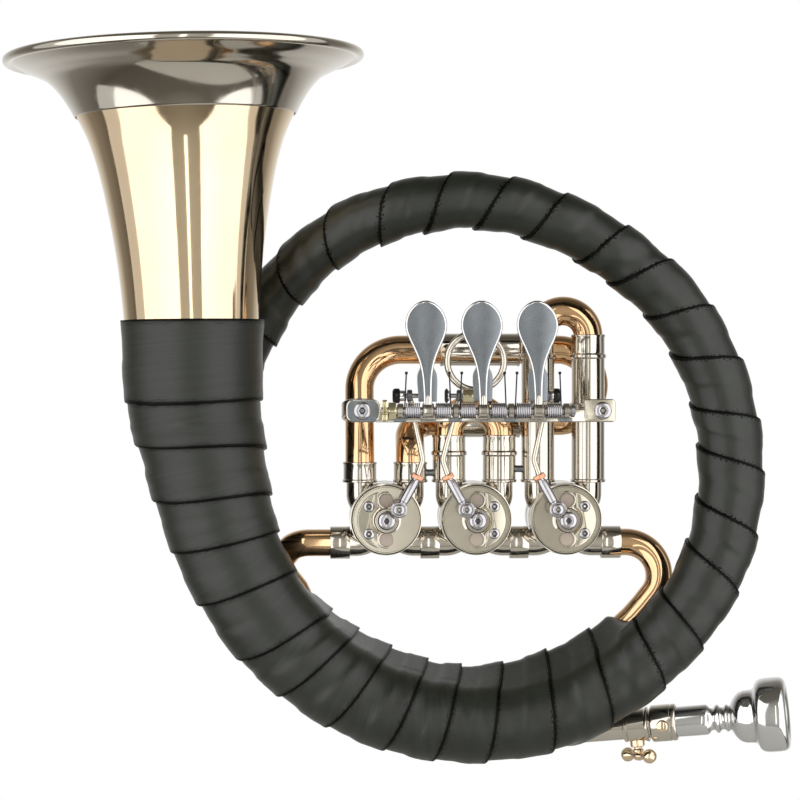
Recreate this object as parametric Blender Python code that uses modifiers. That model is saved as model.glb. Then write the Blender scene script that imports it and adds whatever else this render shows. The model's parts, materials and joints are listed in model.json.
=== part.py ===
"""A small valved horn: a bell-up coil bound in leather, with three rotary valves in its middle.

The frame is the photograph's: +X to the right, +Z up along the bell, and the front faces -Y. Lengths are
in metres. Shapes are made in a frame at the middle of the coil; each sub-part is then placed so that the
origin is on the inside of the coil's top, where the horn hangs on a peg.
"""

import math

import bmesh
import bpy
import numpy as np
from mathutils import Matrix, Vector

MM = 0.001
GAP = 0.3 * MM  # between pieces that touch

# Bell: a turned flare with a nickel-silver garland and a rolled rim.
BELL_MOUTH = Vector((-111.5, 0.0, 158.0)) * MM
BELL_LEAN = math.radians(1.6)
BELL_WALL = 0.6 * MM
BELL_SIDES = 24
# Depth below the rim and outer radius of the flare.
BELL_FLARE = [
    (2.4, 66.1), (4.4, 62.2), (6.6, 57.2), (9.2, 52.6), (15.0, 47.4), (23.5, 42.4), (35.0, 37.3),
    (53.0, 32.7), (83.0, 28.0), (118.0, 25.4),
]
GARLAND_DEPTH = 19.4 * MM
GARLAND_SHEET = 0.45 * MM
RIM_BEAD_RADIUS = 1.75 * MM
RIM_RADIUS = 70.0 * MM

# The coil's own tube: clock angle seen from the front (0 at the top, clockwise), distance of its centre line
# from the middle, depth behind the coil's plane, and outer radius.
COIL = [
    (-83, 103.0, 36.5, 8.4), (-72, 100.2, 39.4, 8.5), (-60, 99.6, 36.4, 8.5), (-46, 101.0, 27.0, 8.6),
    (-31, 102.0, 13.0, 8.6), (-16, 101.6, 3.5, 8.7), (2, 101.4, 0.3, 8.8), (20, 99.8, 0.0, 9.0),
    (38, 99.4, 0.0, 9.3), (56, 100.9, 0.0, 9.7), (76, 101.8, 0.0, 10.2), (96, 103.2, 0.0, 10.7),
    (116, 104.7, 0.0, 11.1), (138, 104.2, 0.0, 11.8), (160, 104.4, 0.0, 12.5), (182, 103.2, 0.0, 13.4),
    (204, 101.8, 0.0, 14.6), (226, 100.6, 0.0, 16.4), (246, 100.4, 0.0, 18.2), (262, 101.4, 0.0, 20.3),
    (273, 104.6, 0.0, 22.2), (282.05, 110.1, 0.0, 24.2), (290.1, 115.3, 0.0, 25.3), (298, 122.8, 0.0, 26.6),
    (304.6, 132.2, 0.0, 28.0), (310.1, 142.7, 0.0, 29.4),
]
COIL_WALL = 0.8 * MM
HANG_ANGLE = 0.0  # the place on the coil's top that rests on the peg

# Tubes bound to the coil: clock angle, distance outward and back from the coil's centre line, outer radius.
RETURN = [
    (123, -13.0, 17.2, 5.4), (130, -12.2, 16.4, 5.4), (136, -12.0, 16.2, 5.6), (147, -12.6, 14.9, 5.8),
    (160, -13.4, 15.0, 6.1), (182, -11.7, 18.0, 6.4), (204, -11.7, 20.2, 6.8), (226, -9.4, 23.8, 7.2),
    (246, -5.4, 27.2, 7.6), (262, -3.0, 31.0, 8.0), (277, -4.2, 36.2, 8.7),
    (282, -8.9, 38.4, 9.4), (288, -14.7, 39.3, 9.8),
]
PIPE_RADIUS = 5.4 * MM
PIPE_BORE = 4.75 * MM
MOUTHPIPE = [
    (152, 17.1, 14.0, 5.9), (156.3, 13.9, 16.3, 5.9), (163, 8.6, 20.6, 5.8), (173, 5.0, 23.2, 5.5),
    (185, 1.5, 26.0, 5.4), (198, -3.2, 30.0, 5.4), (210, -7.0, 34.4, 5.4), (219, -9.0, 37.8, 5.4),
    (226, -10.0, 39.8, 5.9), (231, -13.0, 40.5, 6.6),
]
PIPE_JOINT_ANGLE = 205.0  # where the mouthpipe meets the bronze inlet, inside the leather
BELL_JOINT_ANGLE = 289.6
RETURN_END = 273.4  # where it meets the coil's thin end
RETURN_KNEE_X = 77.0 * MM
RETURN_BENDS = (13.0 * MM, 11.0 * MM)
INLET_CORNERS = [Vector((-65.0, 38.0, -45.5)) * MM, Vector((-66.3, 22.0, -34.0)) * MM]
INLET_BENDS = (9.0 * MM, 8.0 * MM)

# Leather: one strip wound round the coil, its free edge lying on the turn before.
LEATHER = 0.9 * MM
LEATHER_STEP = 1.2 * MM
LEATHER_GAP = 0.7 * MM
LEATHER_SHIFT = 0.2 * MM  # outward, as the strip spans the coil in flat lengths
SEAM_START = -46.5
SEAM_PITCH_UPPER = 12.2
SEAM_PITCH_LOWER = 11.55
SEAM_CHANGE = 14
TURN_END = 0.9
START_GAP = 1.1 * MM
WRAP_SIDES = 12
WRAPS = [  # name, first turn, share of it left free, last turn, tubes held besides the coil's own
    ("wrap_upper", -2, 0.0, 14, ()),
    ("wrap_side", 14, 0.08, 16, ("return",)),
    ("wrap_bottom", 16, 0.0, 22, ("return", "mouthpipe")),
    ("wrap_left", 22, 0.0, 27, ("return",)),
    ("wrap_throat", 27, 0.0, 30, ()),
]
WRAP_TOP_EDGE = 54.6 * MM

# Rotary valves, counted from the left: their axes run front to back.
VALVE_SPACING = 35.7 * MM
VALVE_MIDDLE_X = 3.1 * MM
VALVE_Z = -23.9 * MM
VALVE_SIDE = (1, -1, -1)  # the side of its axis on which each valve's crank stands
TUBE_PLANE = 22.0 * MM
PORT_OFFSET = 10.1 * MM
CASING_RADIUS = 14.2 * MM
CASING_HALF = 13.0 * MM
ROTOR_RADIUS = 12.1 * MM
ROTOR_CLEARANCE = 0.4 * MM
ROTOR_PASSAGE = 4.3 * MM
ROTOR_PASSAGE_OFFSET = 7.2 * MM
SPINDLE_RADIUS = 2.4 * MM
COVER_RADIUS = 13.75 * MM
COVER_THICKNESS = 2.4 * MM
COVER_RIM_WIDTH = 1.4 * MM
COVER_RIM_HEIGHT = 1.1 * MM
REAR_CAP_RADIUS = 13.8 * MM
REAR_CAP_THICKNESS = 3.2 * MM
PLATE_OUTER = 11.6 * MM
PLATE_INNER = 6.0 * MM
PLATE_THICKNESS = 1.9 * MM
PLATE_END = math.radians(76)
PLATE_SCREW_RADIUS = 1.9 * MM
PLATE_SCREW_HEIGHT = 1.0 * MM
PLATE_SCREW_AT = 8.7 * MM
PLATE_SCREW_ANGLE = math.radians(38)
CRANK_RADIUS = 6.6 * MM
CRANK_REST = math.radians(45)
CRANK_HUB_RADIUS = 4.9 * MM
CRANK_HUB_LENGTH = 6.0 * MM
CRANK_THICKNESS = 2.6 * MM
CRANK_BOSS_RADIUS = 2.6 * MM
CRANK_PIN_RADIUS = 1.2 * MM
SPINDLE_SCREW_RADIUS = 3.5 * MM
SPINDLE_SCREW_HEIGHT = 1.8 * MM

# Valve tubing: the main run through all three valves and a loop above each.
TUBE_WALL = 0.8 * MM
RUN_SLEEVE_RADIUS = 6.5 * MM
RUN_SLEEVE_BORE = PIPE_RADIUS + GAP
RUN_BRIDGE_HALF = 3.8 * MM
RUN_LEFT_X = -54.6 * MM
RUN_RIGHT_X = 61.8 * MM
RUN_SLEEVE_LENGTH = 7.9 * MM
RUN_Z = VALVE_Z - PORT_OFFSET
PORT_BORE = 4.5 * MM
KNUCKLE_TOP = -10.1 * MM
LEG_FOOT = KNUCKLE_TOP + GAP
CROOK_RADIUS = 5.8 * MM
SLEEVE_RADIUS = 6.6 * MM
SLEEVE_BORE = CROOK_RADIUS + GAP
RING_RADIUS = 7.2 * MM
RING_LENGTH = 2.2 * MM
TALL_TOP = 49.4 * MM
TALL_RING = 40.7 * MM
TALL_ENGAGED = 38.0 * MM
SHORT_TOP = 9.2 * MM
SHORT_RING = 1.8 * MM
SHORT_ENGAGED = 16.0 * MM
LONG_CLEARANCE = 2.0 * MM  # between its bends and the loops in front of it
LONG_PLANE = TUBE_PLANE + SLEEVE_RADIUS + CROOK_RADIUS + LONG_CLEARANCE
LONG_HIGH = 43.3 * MM
LONG_LOW = 14.3 * MM
LONG_FERRULE_TOP = -1.6 * MM
LONG_LEAN_FROM = 1.5 * MM
LONG_SLEEVE = (-9.9 * MM, 22.5 * MM)
LONG_ENTRY = 3.0 * MM
LONG_REACH = 58.6 * MM
LONG_ENGAGED = 28.0 * MM
LONG_CORNER = 17.0 * MM
LONG_ELBOW = 10.5 * MM
BRACE_RADIUS = 1.5 * MM
BRACE_Z = (-6.0 * MM, -4.5 * MM)
FINGER_RING_RADIUS = 11.3 * MM
FINGER_RING_WIRE = 1.35 * MM
FINGER_RING_Y = 13.0 * MM
FINGER_RING_Z = 38.6 * MM

# Levers, their hinge and the links to the cranks.
HINGE_Y = -32.0 * MM
HINGE_Z = 19.9 * MM
HINGE_ROD_RADIUS = 1.5 * MM
LEVER_SPACING = 21.0 * MM
LEVER_MIDDLE_X = 3.1 * MM
LEVER_HUB_RADIUS = 3.0 * MM
LEVER_HUB_LENGTH = 4.4 * MM
LEVER_ARM_REACH = 28.0 * MM
LEVER_ARM_RISE = 5.3 * MM
LEVER_ARM_CREST = 8.6 * MM
LEVER_ARM_RADIUS = 1.3 * MM
LEVER_PLATE = [  # height above the hinge and half width of the finger plate
    (1.0, 1.6), (14.0, 1.6), (19.0, 2.5), (24.0, 4.7), (28.0, 6.8), (31.5, 7.7), (35.0, 7.4), (38.2, 5.9),
    (40.6, 3.4), (41.6, 1.2),
]
LEVER_PLATE_THICKNESS = 1.6 * MM
LEVER_LEAN = math.radians(8)
LINK_Y = HINGE_Y + LEVER_ARM_REACH
LINK_TOP_OFFSET = (4.15 * MM, 2.85 * MM, 4.15 * MM)
LINK_BARREL = (6.8 * MM, 12.0 * MM)
LINK_BEND = (9.3 * MM, 19.4 * MM)
LINK_ROD_RADIUS = 1.1 * MM
LINK_BARREL_RADIUS = 1.9 * MM
LINK_HEAD_RADIUS = 3.2 * MM
LINK_HEAD_LENGTH = 3.0 * MM
LINK_NUT_RADIUS = 3.0 * MM
LINK_NUT_LENGTH = 1.8 * MM
LINK_EYE_RADIUS = 2.4 * MM
LINK_EYE_LENGTH = 2.0 * MM
LINK_EYE_CLEARANCE = 0.7 * MM
LINK_LEAN_ROOM = 0.6 * MM  # beside the eye, where the leaning rod comes near when the crank is half way
PIVOT_PIN_RADIUS = 0.9 * MM
PIVOT_KNOB_RADIUS = 2.5 * MM
PIVOT_OUTER = (-30.5 * MM, -10.2 * MM, 35.2 * MM)
SPRING_WIRE = 0.45 * MM
SPRING_RADIUS = 2.7 * MM
SPRING_CURLS = 4
SPRING_START = 2.9 * MM
SPRING_LENGTH = 5.4 * MM
SPRING_TAIL = 14.6 * MM
SPRING_POINTS = 8
SPRING_HUB_DROP = 3.7 * MM
RAIL_BEHIND = 3.4 * MM
RAIL_THICKNESS = 2.0 * MM
RAIL_HALF_HEIGHT = 4.4 * MM
RAIL_LEFT = -48.9 * MM
RAIL_RIGHT = 53.8 * MM
RAIL_SCREW_RADIUS = 3.4 * MM
RAIL_SCREW_HEIGHT = 1.2 * MM
BEARING_HALF_WIDTH = 1.2 * MM
BEARING_RADIUS = 2.9 * MM
ROD_ENDS = (-35.6 * MM, 38.0 * MM)
POST_RADIUS = 2.6 * MM
CLAMP_WALL = 1.2 * MM
CLAMP_HALF = 4.4 * MM

# Mouthpipe end: distances along its axis from where it leaves the leather.
MOUTH_START = Vector((57.2, 14.0, -107.3)) * MM
MOUTH_YAW = math.radians(13.6)
MOUTH_PITCH = math.radians(6.1)
COLLAR_RADIUS = 6.45 * MM
COLLAR = (5.3 * MM, 15.4 * MM)
COLLAR_BEAD_RADIUS = 6.9 * MM
COLLAR_BEAD_LENGTH = 1.1 * MM
RECEIVER_RADIUS = 7.3 * MM
RECEIVER_SOCKET_RADIUS = 6.25 * MM
RECEIVER_SOCKET = 8.6 * MM
RECEIVER = (16.3 * MM, 26.5 * MM)
RECEIVER_TAIL_RADIUS = 4.35 * MM
RECEIVER_TAIL_BORE = 3.6 * MM
RECEIVER_TAIL = 17.0 * MM
STUD_RADIUS = 2.3 * MM
STUD_HEIGHT = 2.2 * MM
CLAMP_AT = 10.0 * MM
CLAMP_BOSS_RADIUS = 2.9 * MM
CLAMP_BOSS_DROP = 8.6 * MM
CLAMP_SCREW_RADIUS = 1.5 * MM
CLAMP_BAR_RADIUS = 2.0 * MM
CLAMP_BALL_RADIUS = 2.9 * MM
CLAMP_BAR_HALF = 6.0 * MM
CLAMP_BAR_DROP = 12.2 * MM
CLAMP_BAR_YAW = math.radians(40)
MOUTHPIECE_BORE = 1.9
MOUTHPIECE = [  # distance from the receiver's face and outer radius, from the rim to the shank's end
    (43.8, 11.6), (42.4, 13.9), (39.6, 14.6), (33.2, 14.5), (31.0, 13.0), (30.4, 10.5), (25.6, 9.0),
    (21.8, 6.2), (20.4, 5.0), (17.4, 4.6), (16.5, 6.1), (15.5, 6.1), (14.4, 4.8), (12.3, 4.9), (11.0, 6.0),
    (-8.0, 5.85),
]
MOUTHPIECE_CUP = [(30.8, 1.9), (34.0, 5.4), (38.0, 7.4), (42.0, 8.3), (43.3, 9.4)]

FINISHES = {  # colour, metallic, roughness
    "gold_brass": ((0.72, 0.45, 0.20), 1.0, 0.16),
    "nickel_silver": ((0.66, 0.62, 0.55), 1.0, 0.18),
    "bronze_tube": ((0.62, 0.35, 0.17), 1.0, 0.18),
    "leather": ((0.045, 0.052, 0.045), 0.0, 0.55),
    "steel": ((0.42, 0.41, 0.44), 1.0, 0.25),
    "silver_plate": ((0.86, 0.86, 0.87), 1.0, 0.08),
}


# Scene set-up

for old in list(bpy.data.objects):
    bpy.data.objects.remove(old, do_unlink=True)
PARTS = bpy.data.collections.new("valved_horn")
bpy.context.scene.collection.children.link(PARTS)


def material_of(name):
    """The Principled material of a finish, in the sub-part's own name."""
    finish = FINISHES[name[1]]
    material = bpy.data.materials.new(name[0])
    material.use_nodes = True
    shader = material.node_tree.nodes["Principled BSDF"]
    shader.inputs["Base Color"].default_value = (*finish[0], 1.0)
    shader.inputs["Metallic"].default_value = finish[1]
    shader.inputs["Roughness"].default_value = finish[2]
    return material


def loose(data):
    """An unnamed shape in the coil's own frame, ready to be cut, joined or kept."""
    shape = bpy.data.objects.new("shape", data)
    PARTS.objects.link(shape)
    return shape


def baked(shape):
    """The shape as its modifiers and its place leave it, as a plain mesh in the same frame."""
    bpy.context.view_layer.update()
    evaluated = shape.evaluated_get(bpy.context.evaluated_depsgraph_get())
    mesh = bpy.data.meshes.new_from_object(evaluated)
    mesh.transform(shape.matrix_world)
    bpy.data.objects.remove(shape, do_unlink=True)
    return loose(mesh)


def of_bmesh(bm):
    """A loose shape from an edited mesh."""
    mesh = bpy.data.meshes.new("shape")
    bm.to_mesh(mesh)
    bm.free()
    return loose(mesh)


def welded(shape):
    """The same shape with its coincident points merged."""
    bm = bmesh.new()
    bm.from_mesh(shape.data)
    bmesh.ops.remove_doubles(bm, verts=bm.verts, dist=0.001 * MM)
    bm.to_mesh(shape.data)
    bm.free()
    return shape


def combined(shape, others, operation):
    """The Boolean of one shape with each of the others, which are used up."""
    for other in others:
        step = shape.modifiers.new("combine", "BOOLEAN")
        step.operation = operation
        step.solver = "EXACT"
        step.object = other
        shape = baked(shape)
        bpy.data.objects.remove(other, do_unlink=True)
    return shape


def joined(shape, *others):
    return combined(shape, others, "UNION")


def cut(shape, *others):
    return combined(shape, others, "DIFFERENCE")


def kept(shape, name, finish, pivot=None):
    """The finished sub-part: named, smooth, in its finish, its origin at its pivot."""
    pivot = pivot or Vector()
    shape.data.transform(Matrix.Translation(-pivot))
    shape.name = name
    shape.data.name = name
    shape.data.materials.clear()
    shape.data.materials.append(material_of((name, finish)))
    shape.data.shade_smooth()
    shape.data.set_sharp_from_angle(angle=math.radians(38))
    shape.location = pivot + TO_PEG


def turned_to(direction):
    """The rotation that takes +Z to a direction."""
    return Vector(direction).to_track_quat("Z", "Y").to_matrix().to_4x4()


def rod(start, end, radius, sides=16):
    """A round bar from one point to another."""
    start = Vector(start)
    end = Vector(end)
    bm = bmesh.new()
    bmesh.ops.create_cone(
        bm, cap_ends=True, segments=sides, radius1=radius, radius2=radius, depth=(end - start).length
    )
    place = Matrix.Translation((start + end) / 2) @ turned_to(end - start)
    bmesh.ops.transform(bm, matrix=place, verts=bm.verts)
    return of_bmesh(bm)


def block(low, high):
    """A box between two corners."""
    low = Vector(low)
    high = Vector(high)
    bm = bmesh.new()
    bmesh.ops.create_cube(bm, size=1.0)
    bmesh.ops.scale(bm, vec=high - low, verts=bm.verts)
    bmesh.ops.translate(bm, vec=(low + high) / 2, verts=bm.verts)
    return of_bmesh(bm)


def ball(centre, radius):
    bm = bmesh.new()
    bmesh.ops.create_uvsphere(bm, u_segments=8, v_segments=5, radius=radius)
    bmesh.ops.translate(bm, vec=centre, verts=bm.verts)
    return of_bmesh(bm)


def turned(profile, steps, place, axis):
    """A profile of (radius, height) points turned about an axis; it closes unless its ends touch the axis."""
    count = len(profile)
    edges = [(i, i + 1) for i in range(count - 1)]
    if profile[0][0] or profile[-1][0]:
        edges.append((count - 1, 0))
    mesh = bpy.data.meshes.new("profile")
    mesh.from_pydata([(radius, 0.0, height) for radius, height in profile], edges, [])
    shape = loose(mesh)
    shape.matrix_world = Matrix.Translation(place) @ turned_to(axis)
    screw = shape.modifiers.new("turn", "SCREW")
    screw.steps = steps
    screw.render_steps = steps
    screw.use_merge_vertices = True
    screw.merge_threshold = 0.01 * MM
    return baked(shape)


def tube(points, radius, sides=12, radii=None):
    """A round tube along points, of one radius or of one at each point."""
    curve = bpy.data.curves.new("tube", "CURVE")
    curve.dimensions = "3D"
    curve.bevel_depth = radius
    curve.bevel_resolution = sides // 2 - 2
    curve.use_fill_caps = True
    line = curve.splines.new("POLY")
    line.points.add(len(points) - 1)
    for index, point in enumerate(points):
        line.points[index].co = (*point, 1.0)
        line.points[index].radius = radii[index] / radius if radii else 1.0
    return welded(baked(loose(curve)))


def plate(outline, half_thickness, place):
    """A flat outline of (x, z) points, given its thickness front to back at a place."""
    curve = bpy.data.curves.new("plate", "CURVE")
    curve.dimensions = "2D"
    curve.fill_mode = "BOTH"
    curve.extrude = half_thickness
    line = curve.splines.new("POLY")
    line.points.add(len(outline) - 1)
    for index, (across, along) in enumerate(outline):
        line.points[index].co = (across, along, 0.0, 1.0)
    line.use_cyclic_u = True
    shape = loose(curve)
    shape.matrix_world = Matrix.Translation(place) @ Matrix.Rotation(math.radians(90), 4, "X")
    return welded(baked(shape))


def extended(points, length):
    """The same line, run on past both ends."""
    first = points[0] + (points[0] - points[1]).normalized() * length
    last = points[-1] + (points[-1] - points[-2]).normalized() * length
    return [first, *points, last]


def hollow(points, radius, wall, sides=12, radii=None):
    """A tube with its bore cut right through."""
    bore_radii = None
    if radii:
        bore_radii = [each - wall for each in (radii[0], *radii, radii[-1])]
    bore = tube(extended(points, 1 * MM), radius - wall, sides, bore_radii)
    return cut(tube(points, radius, sides, radii), bore)


def rounded(corners, radii, step=math.radians(18)):
    """A line through corners, each inner corner replaced by an arc of its radius."""
    points = [Vector(corners[0])]
    for index in range(1, len(corners) - 1):
        corner = Vector(corners[index])
        back = (Vector(corners[index - 1]) - corner).normalized()
        ahead = (Vector(corners[index + 1]) - corner).normalized()
        half = back.angle(ahead) / 2
        radius = radii[index - 1]
        centre = corner + (back + ahead).normalized() * (radius / math.sin(half))
        start = corner + back * (radius / math.tan(half)) - centre
        sweep = math.pi - 2 * half
        normal = back.cross(ahead).normalized()
        count = max(2, round(sweep / step))
        for number in range(count + 1):
            points.append(centre + Matrix.Rotation(-sweep * number / count, 3, normal) @ start)
    points.append(Vector(corners[-1]))
    return points


def steps_between(start, end, step):
    count = max(1, round((end - start) / step))
    return [start + (end - start) * number / count for number in range(count + 1)]


# The coil's centre line and what is bound to it

def blend(stations, key):
    """Values at a key between stations, on a smooth cubic through them."""
    keys = [station[0] for station in stations]
    key = min(max(key, keys[0]), keys[-1])
    index = min(max(int(np.searchsorted(keys, key)) - 1, 0), len(keys) - 2)

    def slope(at):
        before = max(at - 1, 0)
        after = min(at + 1, len(keys) - 1)
        rise = np.subtract(stations[after][1:], stations[before][1:])
        return rise / (keys[after] - keys[before])

    span = keys[index + 1] - keys[index]
    t = (key - keys[index]) / span
    start = np.array(stations[index][1:])
    end = np.array(stations[index + 1][1:])
    return (
        start * (2 * t**3 - 3 * t**2 + 1)
        + end * (3 * t**2 - 2 * t**3)
        + slope(index) * span * (t**3 - 2 * t**2 + t)
        + slope(index + 1) * span * (t**3 - t**2)
    )


def on_clock(angle, distance, depth):
    """A point at a clock angle and a distance from the middle of the coil."""
    turn = math.radians(angle)
    return (distance * math.sin(turn), depth, distance * math.cos(turn))


COIL_LINE = [(angle, *on_clock(angle, distance, depth), radius) for angle, distance, depth, radius in COIL]


def coil_at(angle):
    """Centre and radius of the coil's tube at a clock angle."""
    x, y, z, radius = blend(COIL_LINE, angle)
    return Vector((x, y, z)) * MM, radius * MM


def coil_frame(angle):
    """Centre, outward and backward directions across the coil at a clock angle."""
    centre = coil_at(angle)[0]
    ahead = (coil_at(angle + 0.5)[0] - coil_at(angle - 0.5)[0]).normalized()
    outward = ahead.cross(Vector((0, 1, 0))).normalized()
    return centre, outward, outward.cross(ahead)


def bound_at(stations, angle):
    """Centre and radius of a tube that is bound to the coil."""
    centre, outward, back = coil_frame(angle)
    out, behind, radius = blend(stations, angle)
    return centre + (outward * out + back * behind) * MM, radius * MM


HANG_CENTRE, HANG_RADIUS = coil_at(HANG_ANGLE)
TO_PEG = Vector((0, 0, HANG_RADIUS + LEATHER_GAP + LEATHER + LEATHER_STEP / 2 - HANG_CENTRE.z))


# Bell

def offset_line(line, distance):
    """The flare's line moved sideways, away from the bell's inside."""
    moved = []
    for index, (radius, height) in enumerate(line):
        before = line[max(index - 1, 0)]
        after = line[min(index + 1, len(line) - 1)]
        run = Vector((after[0] - before[0], after[1] - before[1])).normalized()
        moved.append((radius - run.y * distance, height + run.x * distance))
    return moved


BELL_AXIS = Vector((-math.sin(BELL_LEAN), 0.0, math.cos(BELL_LEAN)))
BELL_LINE = [(radius * MM, -depth * MM) for depth, radius in BELL_FLARE]


def bell():
    profile = BELL_LINE + offset_line(BELL_LINE, -BELL_WALL)[::-1]
    kept(turned(profile, BELL_SIDES, BELL_MOUTH, BELL_AXIS), "bell", "gold_brass")


def garland():
    """The sheet over the flare's edge, folded round a bead whose top is a narrow flat."""
    end = float(np.interp(GARLAND_DEPTH, [-height for _, height in BELL_LINE], [r for r, _ in BELL_LINE]))
    line = [point for point in BELL_LINE if -point[1] < GARLAND_DEPTH] + [(end, -GARLAND_DEPTH)]
    outer = offset_line(line, GAP + GARLAND_SHEET)
    inner = offset_line(line, GAP)
    bead = [
        (
            RIM_RADIUS - RIM_BEAD_RADIUS + RIM_BEAD_RADIUS * math.cos(math.radians(turn)),
            -RIM_BEAD_RADIUS + RIM_BEAD_RADIUS * math.sin(math.radians(turn)),
        )
        for turn in (190, 107, 73, 20, -35, -100)
    ]
    profile = bead + outer + inner[::-1]
    kept(turned(profile, BELL_SIDES, BELL_MOUTH, BELL_AXIS), "bell_garland", "nickel_silver")


# Coil and the tubes bound to it

def coil_tube():
    line = [coil_at(angle) for angle in steps_between(COIL[0][0], BELL_JOINT_ANGLE, 7.6)]
    centres = [centre for centre, _ in line]
    radii = [radius for _, radius in line]
    kept(hollow(centres, radii[0], COIL_WALL, 8, radii), "coil_tube", "gold_brass")


def return_tube():
    """From the right end of the main run down under the leather, and round to the coil's thin end."""
    joined_line = [bound_at(RETURN, angle) for angle in steps_between(RETURN[1][0], RETURN_END, 8)]
    entry = joined_line[0][0]
    along = (entry - bound_at(RETURN, RETURN[1][0] + 1)[0]).normalized()
    knee = entry + along * ((RETURN_KNEE_X - entry.x) / along.x)
    start = Vector((RUN_RIGHT_X - RUN_SLEEVE_LENGTH / 2 + GAP / 2, TUBE_PLANE, RUN_Z))
    bend = rounded([start, (knee.x, TUBE_PLANE, RUN_Z), knee, entry], RETURN_BENDS)
    centres = bend[:-1] + [centre for centre, _ in joined_line]
    radii = [PIPE_RADIUS] * (len(bend) - 1) + [radius for _, radius in joined_line]
    kept(hollow(centres, PIPE_RADIUS, TUBE_WALL, 8, radii), "return_tube", "bronze_tube")


MOUTH_AXIS = Vector((
    math.cos(MOUTH_PITCH) * math.cos(MOUTH_YAW),
    -math.cos(MOUTH_PITCH) * math.sin(MOUTH_YAW),
    math.sin(MOUTH_PITCH),
))


MOUTH_FRONT = (Vector((0, -1, 0)) + MOUTH_AXIS * MOUTH_AXIS.y).normalized()
MOUTH_DOWN = MOUTH_AXIS.cross(MOUTH_FRONT)


def mouth_at(distance):
    return MOUTH_START + MOUTH_AXIS * distance


def mouthpipe():
    start = mouth_at(RECEIVER[0] - GAP)
    inner = [bound_at(MOUTHPIPE, angle)[0] for angle in steps_between(MOUTHPIPE[1][0], PIPE_JOINT_ANGLE, 6)]
    line = [start, MOUTH_START, *inner]
    kept(hollow(line, PIPE_RADIUS, PIPE_RADIUS - PIPE_BORE, 10), "mouthpipe", "nickel_silver")


def inlet_tube():
    """The mouthpipe's other half, out of the leather and into the left end of the main run."""
    inner = [bound_at(MOUTHPIPE, angle)[0] for angle in steps_between(PIPE_JOINT_ANGLE + 1.0, 231, 6)]
    end = Vector((RUN_LEFT_X + RUN_SLEEVE_LENGTH / 2 - GAP / 2, TUBE_PLANE, RUN_Z))
    bend = rounded([inner[-1], *INLET_CORNERS, end], INLET_BENDS)
    kept(hollow(inner[:-1] + bend, PIPE_RADIUS, TUBE_WALL, 8), "inlet_tube", "bronze_tube")


# Leather

def seam(turn):
    """Clock angle of the strip's edge on the inside of the coil, counted in turns."""
    upper = min(turn, SEAM_CHANGE)
    lower = max(turn - SEAM_CHANGE, 0)
    return SEAM_START + SEAM_PITCH_UPPER * upper + SEAM_PITCH_LOWER * lower


def winding(turn, share):
    """Clock angle of the strip's edge at a share of the way round: the front first, then the back."""
    lead = float(np.interp(turn, (24.0, 27.0), (0.5, 0.05)))
    if share < 0.5:
        return seam(turn + 2 * lead * share)
    return seam(turn + lead + (1 - lead) * (2 * share - 1))


def leather_point(angle, side, half_step, tubes, thickness):
    """Where two flat spans of the strip meet, each lying on the tube that reaches furthest its way."""
    centre, outward, back = coil_frame(angle)
    held = [coil_at(angle)]
    if "return" in tubes:
        held.append(bound_at(RETURN, angle))
    if "mouthpipe" in tubes:
        held.append(bound_at(MOUTHPIPE, angle))
    directions = [
        -outward * math.cos(turn) - back * math.sin(turn) for turn in (side - half_step, side + half_step)
    ]
    reach = [
        max((middle - centre).dot(direction) + radius for middle, radius in held) + LEATHER_GAP + thickness
        for direction in directions
    ]
    turn = 2 * half_step
    sideways = (directions[1] - directions[0] * math.cos(turn)) / math.sin(turn)
    slide = (reach[1] - reach[0] * math.cos(turn)) / math.sin(turn)
    return centre + directions[0] * reach[0] + sideways * slide + outward * LEATHER_SHIFT


def wrap(first, free, last, tubes):
    """Some turns of the strip: a helical shell that stands out at the edge of each turn."""
    rows = [(first + free, LEATHER + LEATHER_STEP), (first + TURN_END, LEATHER)]
    for turn in range(first + 1, last):
        rows += [(turn, LEATHER + LEATHER_STEP), (turn + TURN_END, LEATHER)]
    final = len(rows) - 1
    sides = WRAP_SIDES
    bm = bmesh.new()
    made = {}

    def vertex(layer, row, column):
        if column == sides and row + 2 <= final:
            row, column = row + 2, 0
        if (layer, row, column) not in made:
            turn, thickness = rows[row]
            share = column / sides
            side = 2 * math.pi * share
            way = 1 if column == 0 and row < 2 else -1 if column == sides else 0
            angle = winding(turn, share)
            side += way * START_GAP / coil_at(angle)[1]
            place = leather_point(angle, side, math.pi / sides, tubes, thickness * layer)
            made[layer, row, column] = bm.verts.new(place)
        return made[layer, row, column]

    def quad(*corners):
        bm.faces.new([vertex(*corner) for corner in corners])

    for layer in (0, 1):
        for row in range(final):
            for column in range(sides):
                quad(
                    (layer, row, column), (layer, row + 1, column),
                    (layer, row + 1, column + 1), (layer, row, column + 1),
                )
    start_edge = [(0, column) for column in range(sides + 1)] + [(1, 0), (0, 0)]
    end_edge = [(final, column) for column in range(sides + 1)] + [(final - 1, sides), (final - 2, sides)]
    for edge in (start_edge, end_edge):
        for here, there in zip(edge, edge[1:]):
            quad((0, *here), (1, *here), (1, *there), (0, *there))
    bmesh.ops.recalc_face_normals(bm, faces=bm.faces)
    return of_bmesh(bm)


def wraps():
    for name, first, free, last, tubes in WRAPS:
        shape = wrap(first, free, last, tubes)
        if name == "wrap_throat":
            far = 60 * MM
            shape = cut(shape, block((-200 * MM, -far, WRAP_TOP_EDGE), (-40 * MM, far, WRAP_TOP_EDGE + far)))
        kept(shape, name, "leather")


# Valves

def valve_x(number):
    return VALVE_MIDDLE_X + (number - 1) * VALVE_SPACING


CASING_FRONT = TUBE_PLANE - CASING_HALF
CASING_BACK = TUBE_PLANE + CASING_HALF
COVER_FACE = CASING_FRONT - GAP - COVER_THICKNESS


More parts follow.
